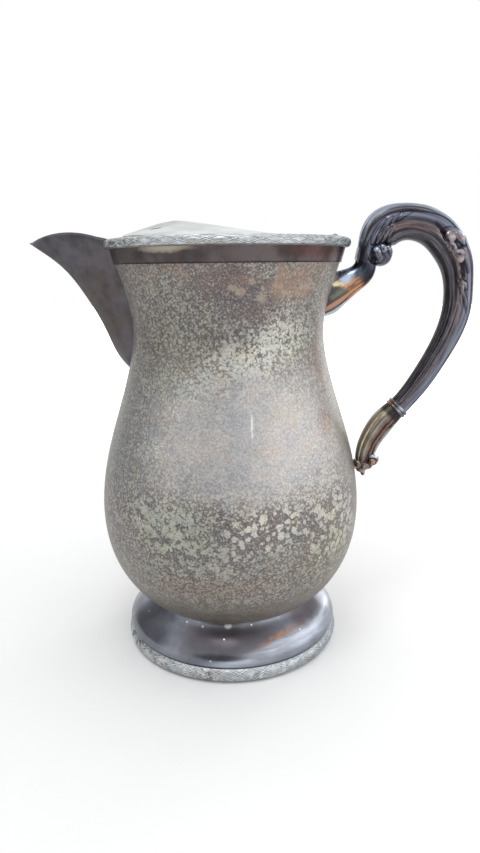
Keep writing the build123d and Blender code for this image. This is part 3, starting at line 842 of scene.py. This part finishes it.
def cord_of_beads(places, spots):
    """Rounded height in metres of a swelling cord through spots of x, z and radius in mm, seen from the side."""
    x, z = places[..., 0] / MM, places[..., 2] / MM
    height = np.zeros_like(x)
    pairs = list(zip(spots, spots[1:])) or [(spots[0], spots[0])]
    for (ax, az, ar), (bx, bz, br) in pairs:
        dx, dz = bx - ax, bz - az
        along = np.clip(((x - ax) * dx + (z - az) * dz) / max(dx * dx + dz * dz, 1e-9), 0, 1)
        radius = ar + along * (br - ar)
        off = np.hypot(x - ax - along * dx, z - az - along * dz)
        height = np.maximum(height, np.sqrt(np.clip(radius**2 - off**2, 0, None)))
    return height * MM


# width and depth in millimetres of the line cut round each curl, and rise of a curl against its half width
CURL_LINE = 0.7
CURL_CUT = 0.25
CURL_RISE = 1.4
# each curl of the cast leaves: share of its full height, then x, z and radius along it
GRIP_CURLS = (
    (0.45, ((98.6, 200.3, 0.8), (101.3, 201.0, 1.2), (104.8, 200.6, 1.0), (107.0, 199.0, 0.6))),
    (0.55, ((101.6, 198.4, 2.5), (102.8, 197.6, 2.3))),
    (0.60, ((105.4, 199.0, 1.7), (107.2, 197.0, 1.8), (108.8, 194.6, 0.9))),
    (0.60, ((100.8, 194.4, 1.0), (102.3, 195.1, 1.3), (103.8, 194.4, 1.2), (104.4, 192.8, 1.4))),
    (0.75, ((102.4, 189.6, 1.2), (104.0, 191.2, 1.2), (107.2, 191.4, 1.3), (109.2, 190.0, 1.3), (110.4, 188.0, 1.1))),
    (0.65, ((110.4, 188.0, 1.1), (111.5, 185.4, 0.9), (112.0, 182.2, 0.5))),
    (0.50, ((104.6, 188.2, 2.1), (107.4, 188.0, 2.2))),
    (0.55, ((103.4, 185.6, 1.3), (105.0, 185.0, 1.8), (106.6, 183.6, 1.4))),
    (0.60, ((105.8, 182.0, 1.5), (107.0, 180.2, 1.7))),
    (0.60, ((107.9, 176.2, 1.3), (109.0, 177.2, 1.4), (110.6, 176.6, 1.2), (111.4, 174.8, 0.8))),
    (0.60, ((109.2, 175.0, 1.6), (109.5, 173.2, 1.2), (110.4, 171.8, 0.9))),
    (0.45, ((110.8, 171.3, 0.9), (112.6, 166.4, 0.9), (114.0, 160.9, 0.4))),
    (0.40, ((77.2, 205.0, 0.5), (79.6, 207.6, 1.2), (83.8, 209.3, 0.5))),
    (0.45, ((66.6, 195.4, 0.9), (67.2, 198.4, 1.1), (69.2, 202.7, 1.0), (71.8, 206.0, 0.4))),
    (0.45, ((68.8, 195.4, 0.9), (69.8, 198.8, 1.2), (72.3, 203.6, 1.0), (75.0, 206.8, 0.4))),
    (0.45, ((71.3, 195.6, 0.9), (72.4, 199.4, 1.2), (73.6, 204.0, 0.4))),
    (0.45, ((73.8, 195.6, 0.8), (75.0, 199.8, 1.1), (76.4, 203.6, 0.3))),
)
GRIP_HOLLOWS = (
    (0.50, ((95.2, 204.4, 0.8), (98.6, 198.6, 2.0), (99.8, 192.8, 2.0), (100.8, 187.6, 1.8), (102.6, 182.6, 1.6))),
    (0.50, ((102.6, 182.6, 1.6), (105.2, 177.4, 1.6), (107.2, 172.4, 1.3), (109.4, 166.0, 0.6))),
    (0.45, ((109.4, 199.0, 0.8), (110.6, 194.0, 1.2), (107.2, 193.6, 1.0))),
    (0.45, ((108.6, 185.4, 1.4), (109.6, 180.4, 1.4))),
    (0.14, ((71.0, 190.8, 6.3),)),
)
SCROLL_CURLS = (
    (0.60, ((74.8, 193.6, 2.0), (75.4, 191.8, 1.7))),
    (0.50, ((66.8, 195.4, 1.6), (68.2, 191.4, 2.4), (70.0, 188.8, 2.0))),
    (0.45, ((71.0, 196.2, 1.4), (72.0, 192.4, 1.6))),
    (0.60, ((68.4, 187.6, 0.9),)),
)
LOWER_SCROLL_CURLS = (
    (0.60, ((69.4, 92.8, 0.7), (71.0, 93.7, 1.2), (72.6, 93.2, 1.2), (73.6, 91.6, 0.7))),
    (0.60, ((70.6, 90.4, 1.8),)),
)
# x, z, half sizes along x, y and z in millimetres and tilt in degrees of the lumps of the lowest leaf
FOOT_LEAF_LUMPS = (
    (60.6, 87.0, 3.4, 3.0, 1.9, -4),
    (64.2, 88.4, 2.6, 3.3, 2.6, 20),
    (67.4, 87.8, 3.2, 3.5, 3.3, 0),
    (65.6, 85.6, 2.2, 2.8, 1.9, -25),
    (67.0, 84.2, 1.3, 2.2, 2.5, 8),
    (70.2, 87.0, 2.1, 3.1, 1.5, 40),
    (66.2, 91.2, 1.8, 3.0, 1.5, 60),
)


def cast_relief(places, curls, hollows=()):
    """Heights of the leaf curls and depths of the hollows and of the line cut round each curl, in metres."""
    rise, sunk, around = (np.zeros(places.shape[:2]) for _ in range(3))
    for share, spots in curls:
        rise = np.maximum(rise, CURL_RISE * share * cord_of_beads(places, spots))
        around = np.maximum(around, cord_of_beads(places, [(x, z, r + CURL_LINE) for x, z, r in spots]))
    for share, spots in hollows:
        sunk = np.maximum(sunk, share * cord_of_beads(places, spots))
    cut = smooth_step(around, 0.1 * MM, 1.0 * MM) * (1 - smooth_step(rise, 0.05 * MM, 0.6 * MM))
    return rise, sunk, CURL_CUT * MM * cut


# samples of the grip's cross-section, and how many of them its corners are eased over on each side
FLUTE_SAMPLES = 721
BLUR_REACH = 12
# height of the grip's cross-section at fold angles in degrees, as a share of the flute depth
FLUTE_PROFILE = (
    (-90, 0.0), (-44, 0.0), (-34, -0.45), (-28, -0.95), (-22, -0.55), (-15, 0.0), (-6, -0.05), (0, -0.45),
    (4, -0.85), (9, -0.70), (18, -0.38), (28, -0.50), (34, -0.80), (38, -1.10), (43, -0.50), (50, 0.0), (90, 0.0),
)


def grip_relief(places, folded, share, relief):
    """Height of the grip's flutes and leaf curls over its plain oval, and its marks for the finish."""
    curled = smooth_step(share, 0.22, 0.34) * (1 - smooth_step(share, 0.52, 0.66))
    lower = smooth_step(share, 0.50, 0.64)
    # the outer groove lies nearer to the outside beside the curls and below them
    shift = 18 * curled + 16 * lower
    base = folded - shift * np.interp(folded, (0, 36, 60, 90), (0, 1, 0.8, 0))
    angles, heights = zip(*FLUTE_PROFILE)
    fine = np.linspace(-90, 90, FLUTE_SAMPLES)
    blur = np.exp(-(np.linspace(-2.5, 2.5, 2 * BLUR_REACH + 1) ** 2))
    profile = np.pad(np.interp(fine, angles, heights), BLUR_REACH, mode="edge")
    profile = np.convolve(profile, blur / blur.sum(), mode="valid")
    depth = -np.interp(base, fine, profile)
    depth = np.maximum(depth, 0.45 * valley(folded, -58.0, 6.0) * lower)
    depth = depth * smooth_step(share, 0.02, 0.14) * (1 - 0.45 * lower) * (1 - smooth_step(share, 0.95, 1.0))
    rise, sunk, cut = cast_relief(places, GRIP_CURLS, GRIP_HOLLOWS)
    outer_side = np.maximum(smooth_step(folded, -25.0, 0.0), 1 - smooth_step(share, 0.10, 0.16))
    rise, sunk, cut = rise * outer_side, sunk * outer_side, cut * outer_side
    height = rise - np.maximum(relief.flute_depth * depth, sunk + cut)
    wear_and_sheen = smooth_step(rise, 0.5 * MM, 1.5 * MM)
    marks = {
        "raised": np.clip(1 - 0.8 * depth - 0.5 * sunk / MM - 1.2 * cut / MM, 0, 1) * (1 - wear_and_sheen) + wear_and_sheen,
        "curl": wear_and_sheen,
        # painted reflection of the hand: warm brown on the inner flank
        "brown": plateau(base, -24.0, -2.0, 6.0)
        * smooth_step(share, 0.1, 0.2)
        * (1 - 0.7 * smooth_step(share, 0.24, 0.32)),
        "blue": plateau(base, 8.0, 32.0, 8.0),
        "shade": 1 - smooth_step(folded, -46.0, -24.0),
        # painted highlight: the sky's pale blue on the outer top
        "crown": smooth_step(folded, 40.0, 62.0) * (1 - smooth_step(share, 0.34, 0.52)),
        "fold": folded / 90,
        "along": share,
    }
    return height, marks


def cast_finish(name, plate):
    """Cast and polished plate, dark where polish doesn't reach, with tints and streaks stored on the mesh; the brown
    and crown tints are painted reflections.
    """
    look = Finish(name, metallic=1.0, roughness=0.24)
    raised = look.attribute("raised")
    lengthwise = look.join(look.attribute("fold"), look.attribute("along"), 0.0)
    streaks = look.noise(1.0, detail=4.0, roughness=0.6, place=lengthwise, stretch=(0.12, 0.16, 1.0))
    fine = look.noise(1.0, place=lengthwise, stretch=(0.035, 0.09, 1.0))
    clouds = look.cloudy(5, 0.35, 0.7, detail=4.0, roughness=0.6)
    look.paint(look.mix(clouds, shaded(plate.handle, 0.7), plate.handle))
    look.coat(plate.handle_blue, look.attribute("blue"), 0.9)
    # the brown and crown marks paint reflections: the hand's warm brown on the inner flank and the sky's pale blue
    # over the top
    look.coat(plate.brown_and_skin_reflection, look.attribute("brown"), look.between(streaks, 0.36, 0.56, 0.2, 0.95))
    look.coat(shaded(plate.handle, 0.45), look.attribute("shade"), 0.6)
    look.coat(plate.socket, look.attribute("crown"), look.between(streaks, 0.38, 0.58, 0.25, 1.0), 0.6)
    look.coat(plate.tarnish_and_shadow, look.between(look.blend(0.4, streaks, fine), 0.40, 0.56, 0.62, 0.0))
    look.coat(shaded(plate.handle, 1.7), look.between(look.blend(0.5, streaks, fine), 0.56, 0.66, 0.0, 0.5))
    leaf = look.mix(look.cloudy(4, 0.38, 0.60), plate.brown_and_skin_reflection, plate.curl)
    look.coat(leaf, look.attribute("curl"), 0.6)
    look.coat(plate.tarnish_and_shadow, look.between(raised, 0.05, 0.75, 1.0, 0.0))
    look.bump(look.blend(0.5, look.noise(0.6), fine), 0.05, 0.4)
    look.roughen(look.between(raised, 0.0, 0.8, 0.45, 0.22))
    return look.material


def scroll_piece(name, node, size, curls, material):
    """Rounded barrel of a scroll's end, with the leaf's curls raised on both of its faces."""
    middle_x, middle_z, reach, length = [MM * value for value in size]
    rows, columns = SCROLL_GRID
    turn = np.linspace(0, FULL_TURN, columns, endpoint=False)[None, :]
    along = np.linspace(-0.5 * math.pi, 0.5 * math.pi, rows)[:, None]
    radius = reach * np.cos(along) ** BARREL_ROUNDNESS
    x, z = middle_x + radius * np.cos(turn), middle_z + radius * np.sin(turn)
    places = np.stack(np.broadcast_arrays(x, BARREL_HALF * length * np.sin(along), z), axis=-1)
    rise, _, cut = cast_relief(places, curls)
    side = smooth_step(np.abs(np.sin(along)), 0.35, 0.75)
    places[..., 1] += np.sign(along) * side * (rise - cut - BARREL_SETBACK * MM)
    wear_and_sheen = smooth_step(rise, 0.3 * MM, 1.0 * MM) * side
    upper = smooth_step(z, middle_z - 0.2 * reach, middle_z + 0.5 * reach)
    # upper marks the lit top: crown paints the sky's pale blue on the upper faces, curl lightens only the upper
    # curls, and shade is painted shade under the barrel
    marks = {
        "raised": 0.8 + 0.2 * wear_and_sheen - 1.2 * side * cut / MM,
        "curl": 0.4 * wear_and_sheen * upper,
        "blue": 1.0,
        "shade": 1 - upper,
        "crown": 0.6 * side * upper,
        "fold": 0.5 * np.sin(turn + along),
        "along": 0.2 * np.cos(turn) * np.cos(along),
    }
    piece = grid_piece(name, places, material, marks)
    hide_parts(node)
    return piece


def lumpy_piece(name, lumps, material):
    """Cast leaf of lumps that run into one another, the same on both sides."""
    form = bmesh.new()
    for x, z, half_x, half_y, half_z, tilt in lumps:
        place = Matrix.Translation((x * MM, 0, z * MM)) @ Matrix.Rotation(math.radians(-tilt), 4, "Y")
        size = Matrix.Diagonal((half_x * MM, half_y * MM, half_z * MM, 1.0))
        bmesh.ops.create_uvsphere(form, u_segments=28, v_segments=20, radius=1.0, matrix=place @ size)
    mesh = bpy.data.meshes.new(name)
    form.to_mesh(mesh)
    form.free()
    mesh.materials.append(material)
    piece = placed(name, mesh)
    fused = piece.modifiers.new("fused", "REMESH")
    fused.mode = "VOXEL"
    fused.voxel_size = LUMP_VOXEL
    fused.use_smooth_shade = True
    eased = piece.modifiers.new("eased", "SMOOTH")
    eased.factor, eased.iterations = 0.5, 3
    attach(piece, "jug")
    return piece


class JUG_OT_grip(bpy.types.Operator):
    """Make the fluted grip with its leaf curls"""

    bl_idname = "jug.grip"
    bl_label = "Grip"

    def execute(self, context):
        plate, relief = context.scene.jug_plate, context.scene.jug_relief
        first = len(SOCKET_STATIONS) - 1
        last = len(SOCKET_STATIONS) + len(GRIP_STATIONS)
        places, normals, folded, share = handle_tube(first, last, *GRIP_GRID)
        height, marks = grip_relief(places, folded, share, relief)
        places = places + normals * height[..., None]
        material = cast_finish("handle_metal", plate)
        grip = grid_piece("fluted_grip", places, material, marks, capped=True)
        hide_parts("handle_grip")
        scroll = scroll_piece("leaf_scroll", "handle_upper_volute", UPPER_SCROLL, SCROLL_CURLS, material)
        return {"FINISHED"}


class JUG_OT_sockets(bpy.types.Operator):
    """Finish the sleeves and collar of the handle, and make its heel, lowest leaf and lower scroll"""

    bl_idname = "jug.sockets"
    bl_label = "Sockets and scrolls"

    def execute(self, context):
        plate, relief = context.scene.jug_plate, context.scene.jug_relief
        socket = plate_finish("socket_plate", plate.socket_dark, 0.2, cloud=0.12)
        ragged = socket.ragged(4, 1.4)
        x, z = socket.axis("X"), socket.axis("Z")
        across = socket.total(0.0, (z, 0.86), (x, -0.51))
        slanted = socket.join(socket.total(0.0, (x, 0.86), (z, 0.51)), socket.axis("Y"), across)
        grain = socket.noise(2.2, detail=4.0, place=slanted, stretch=(4.0, 2.0, 1.0))
        # painted reflection: warm orange-brown over the socket's lower middle, with pale streaks
        warm_reflection = socket.mix(socket.between(grain, 0.42, 0.56), shaded(plate.brass_and_warm_reflection, 0.42), plate.brass_and_warm_reflection)
        warm_reflection = socket.mix(socket.between(grain, 0.60, 0.70, 0.0, 0.6), warm_reflection, plate.pale_highlight)
        socket.coat(warm_reflection, socket.zone((57.5, -7, 175.6), (10, 11, 7), 0.5, ragged))
        facet = socket.mix(socket.between(grain, 0.4, 0.6), shaded(plate.facet, 0.6), plate.facet)
        socket.coat(facet, socket.zone((51.6, -8, 172.4), (6, 10, 5), 0.4, ragged))
        # a worn line along the lower edge, with a dark one above it
        for level, strength, rising, falling in (
            (1.2, 0.8, (117.6, 118.6), (119.8, 120.6)),
            (0.3, 0.6, (120.3, 120.9), (121.2, 122.2)),
        ):
            line = socket.maths("SUBTRACT", socket.between(across, *rising), socket.between(across, *falling))
            socket.coat(shaded(plate.brass_and_warm_reflection, level), line, strength)
        socket.coat(plate.border, socket.between(across, 116.8, 117.8, 0.75, 0.0))
        # painted reflection: the sky's pale blue over the socket's upper part
        socket.coat(plate.socket, socket.zone((53.6, -8, 182), (7.4, 12, 5.2), 0.5, ragged))
        socket.coat(plate.tarnish_and_shadow, socket.zone((66, -4, 179), (4.6, 12, 11), 0.7, ragged), 0.8)
        # painted highlight: a pale line along the socket's edge against the body, with pale specks beside it
        specks = socket.times(socket.zone((51.6, -8, 177.2), (3.6, 12, 1.6)), socket.between(grain, 0.45, 0.6))
        join = socket.total(socket.zone((49.2, -8, 180), (2.2, 12, 4.8), 0.5, ragged), (specks, 0.9))
        socket.coat(plate.pale_highlight, socket.maths("MINIMUM", join, 1.0))
        socket.dress("handle_upper_socket")

        collar = plate_finish("collar_plate", shaded(plate.handle, 0.6), 0.2)
        # painted highlight on the collar's bead
        collar.coat(plate.painted_highlight, collar.zone((83.4, -6, 117.4), (3.2, 6, 2.6), 0.8), 0.5)
        collar.coat(plate.brass_and_warm_reflection, collar.between(collar.axis("X"), 78, 81, 0.85, 0.0))
        collar.dress("handle_collar")

        first = len(SOCKET_STATIONS) + len(GRIP_STATIONS)
        last = first + len(HEEL_STATIONS)
        places, normals, folded, share = handle_tube(first, last, *HEEL_GRID)
        depth = np.maximum(valley(folded, 34.0, 6.0), 0.5 * plateau(folded, -16.0, 8.0, 4.0))
        depth = np.maximum(depth, 0.7 * valley(folded, -44.0, 5.0))
        depth = depth * smooth_step(share, 0.14, 0.3) * (1 - 0.7 * smooth_step(share, 0.8, 1.0))
        places = places - normals * (relief.heel_depth * depth)[..., None]
        heel = Finish("heel_plate", metallic=1.0, roughness=0.3)
        uneven = heel.total(heel.attribute("fold"), (heel.noise(5, detail=3.0), 0.22), (1.0, -0.11))
        silver, brown = plate.heel, plate.brown_and_skin_reflection
        # light and dark stripes along the flutes: painted highlights and reflections, with tarnish in the groove at
        # 0.70
        # place of each stripe over the fold angle, its colour and how light it is
        stops = (
            (0.00, silver, 1.8), (0.22, silver, 2.0), (0.28, plate.pale_highlight, 1.0), (0.34, silver, 1.7),
            (0.42, silver, 1.2), (0.50, brown, 0.8), (0.57, brown, 0.32), (0.62, brown, 1.1),
            (0.70, plate.tarnish_and_shadow, 1.0), (0.76, silver, 1.4), (1.00, silver, 1.0),
        )
        heel.paint(heel.stripes(uneven, stops))
        heel.stain((1.0, 0.95, 0.82), heel.cloudy(4, 0.44, 0.60, 0.0, 0.9, detail=3.0))
        along = heel.attribute("along")
        above, below = heel.between(along, 0.13, 0.2, 0.85, 0.0), heel.between(along, 0.78, 0.95, 0.0, 0.6)
        heel.coat(plate.tarnish_and_shadow, heel.maths("MAXIMUM", above, below))
        heel.bump(heel.noise(0.6), 0.03, 0.3)
        marks = {"fold": (folded + 90) / 180, "along": share}
        piece = grid_piece("fluted_heel", places, heel.material, marks, capped=True)
        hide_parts("handle_lower_socket")

        look = plate_finish("lower_leaf_plate", plate.heel, 0.2, cloud=0.1)
        look.coat(shaded(plate.heel, 0.4), 0.3)
        look.coat(shaded(brown, 2.1), look.cloudy(2.6, 0.42, 0.62, detail=3.0))
        leaf = lumpy_piece("leaf_of_heel", FOOT_LEAF_LUMPS, look.material)
        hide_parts("handle_foot_leaf")
        look = plate_finish("lower_scroll_metal", shaded(plate.heel, 1.2), 0.24, cloud=0.1)
        look.coat(shaded(plate.brass_and_warm_reflection, 0.9), look.zone((70.6, -4.6, 90.2), (2.8, 2.4, 2.6)))
        # painted highlight: a pale crescent on the top of the scroll
        look.coat(plate.painted_highlight, look.zone((71.6, -3, 93.8), (4.2, 6, 2.2), 0.5))
        look.coat(plate.tarnish_and_shadow, look.between(look.attribute("raised"), 0.35, 0.75, 1.0, 0.0))
        scroll = scroll_piece(
            "lower_leaf_scroll", "handle_lower_volute", LOWER_SCROLL, LOWER_SCROLL_CURLS, look.material
        )
        return {"FINISHED"}


# ---------------------------------------------------------------- stage
WHITE = (1.0, 1.0, 1.0)
SENSOR_WIDTH = 36.0
# radius and depth of the floor in metres, its corners, and the distances in millimetres over which it fades
FLOOR_RADIUS = 3.0
FLOOR_DEPTH = 0.05 * MM
FLOOR_CORNERS = 96
FLOOR_FADE = 340, 680


def aimed(name, data, azimuth, elevation, distance):
    """Object turned to the jug's middle from around it, and not seen by the camera itself.

    Azimuth 0 is towards the camera and 90 towards the handle.
    """
    thing = placed(name, data)
    turn, rise = math.radians(azimuth), math.radians(elevation)
    away = Vector((math.sin(turn) * math.cos(rise), -math.cos(turn) * math.cos(rise), math.sin(rise)))
    thing.location = Vector((cad_box[0] + cad_box[1]) / 2) + distance * away
    thing.rotation_euler = (-away).to_track_quat("-Z", "Y").to_euler()
    thing.visible_camera = False
    return thing


def sheet(name, corners, material):
    """Mesh of one flat polygon."""
    mesh = bpy.data.meshes.new(name)
    mesh.from_pydata(corners, [], [tuple(range(len(corners)))])
    mesh.materials.append(material)
    return mesh


def softbox(name, where, width, height, radiance, colour=WHITE):
    """Rectangular lamp of a given brightness."""
    lamp = bpy.data.lights.new(name, "AREA")
    lamp.shape = "RECTANGLE"
    lamp.size, lamp.size_y = width, height
    lamp.energy = radiance * math.pi * width * height
    lamp.color = colour
    aimed(name, lamp, *where)


def flag(name, where, width, height, level):
    """Dark card beside the jug that shapes the reflections in its plate."""
    look = Finish(name, metallic=0.0, roughness=1.0)
    outward = look.length(look.vector("DIVIDE", look.place, (width / 2 / MM, height / 2 / MM, 1.0)))
    look.paint(look.mix(look.between(outward, 0.45, 1.0), [level] * 3, WHITE))
    corners = [(x * width / 2, y * height / 2, 0) for x, y in ((-1, -1), (1, -1), (1, 1), (-1, 1))]
    card = aimed(name, sheet(name, corners, look.material), *where)
    card.visible_shadow = False


class JUG_OT_stage(bpy.types.Operator):
    """Set up the floor, the surroundings, the lamps and the camera"""

    bl_idname = "jug.stage"
    bl_label = "Stage"

    def execute(self, context):
        scene, stage = context.scene, context.scene.jug_stage
        angle = np.linspace(0, FULL_TURN, FLOOR_CORNERS, endpoint=False)
        ring = FLOOR_RADIUS * np.stack([np.cos(angle), np.sin(angle), np.zeros_like(angle)], axis=-1)
        look = Finish("floor_white", metallic=0.0, roughness=0.9)
        seen = look.node("LightPath", {}, "Is Camera Ray")
        look.paint(look.mix(look.noise(40), [0.90] * 3, [0.93] * 3))
        look.coat(WHITE, seen)
        # the far floor fades into the white surroundings, so that no edge of it shows
        far = look.between(look.length(look.place), *FLOOR_FADE)
        look.shader.inputs["Emission Color"].default_value = (*WHITE, 1.0)
        look.feed(look.shader.inputs["Emission Strength"], look.times(seen, far))
        ground = placed("floor", sheet("floor", ring.tolist(), look.material))
        ground.location.z = -FLOOR_DEPTH

        world = bpy.data.worlds.new("white_surroundings")
        world.use_nodes = True
        background = world.node_tree.nodes["Background"].inputs
        background["Color"].default_value = (*WHITE, 1.0)
        background["Strength"].default_value = stage.world_level
        scene.world = world

        # azimuth, elevation and distance, width, height, then brightness
        softbox("window_right", (72, 12, 1.1), 1.5, 0.8, 0.6, (0.97, 0.98, 1.0))
        softbox("skylight", (-20, 66, 0.9), 0.35, 0.25, 5.0, (0.93, 0.97, 1.0))
        softbox("rear_strip", (140, 12, 1.0), 0.25, 0.9, 2.0)
        flag("flag_left", (-105, 10, 0.75), 1.1, 1.1, 0.25)
        flag("flag_front", (-14, 12, 0.8), 1.0, 0.8, 0.20)

        camera = bpy.data.cameras.new("camera")
        camera.lens = stage.lens
        camera.sensor_width = SENSOR_WIDTH
        stand = placed("camera", camera)
        stand.matrix_world = (
            Matrix.Translation((0, -stage.camera_distance, stage.camera_height))
            @ Matrix.Rotation(-stage.camera_yaw, 4, "Z")
            @ Matrix.Rotation(math.pi / 2 - stage.camera_pitch, 4, "X")
            @ Matrix.Rotation(-stage.camera_roll, 4, "Z")
        )
        scene.camera = stand
        scene.view_settings.view_transform = "Standard"
        return {"FINISHED"}


# ---------------------------------------------------------------- panel and running order
PIECES = (
    JUG_OT_body,
    JUG_OT_rim,
    JUG_OT_spout,
    JUG_OT_foot,
    JUG_OT_foot_border,
    JUG_OT_lid,
    JUG_OT_grip,
    JUG_OT_sockets,
    JUG_OT_stage,
)


class JUG_PT_panel(bpy.types.Panel):
    """Lists the jug's pieces"""

    bl_idname = "JUG_PT_panel"
    bl_label = "Serving jug"
    bl_space_type = "VIEW_3D"
    bl_region_type = "UI"
    bl_category = "Jug"

    def draw(self, context):
        for piece in PIECES:
            self.layout.operator(piece.bl_idname)
        for name in SETTINGS:
            group = getattr(context.scene, name)
            for key in group.bl_rna.properties.keys():
                if key not in {"rna_type", "name"}:
                    self.layout.prop(group, key)


CLASSES = (*SETTINGS.values(), *PIECES, JUG_PT_panel)


def register():
    for item in CLASSES:
        bpy.utils.register_class(item)
    for name, group in SETTINGS.items():
        setattr(bpy.types.Scene, name, bpy.props.PointerProperty(type=group))


def unregister():
    for name in SETTINGS:
        delattr(bpy.types.Scene, name)
    for item in reversed(CLASSES):
        bpy.utils.unregister_class(item)


def main():
    register()
    for piece in PIECES:
        group, name = piece.bl_idname.split(".")
        getattr(getattr(bpy.ops, group), name)()


if __name__ == "__main__":
    main()
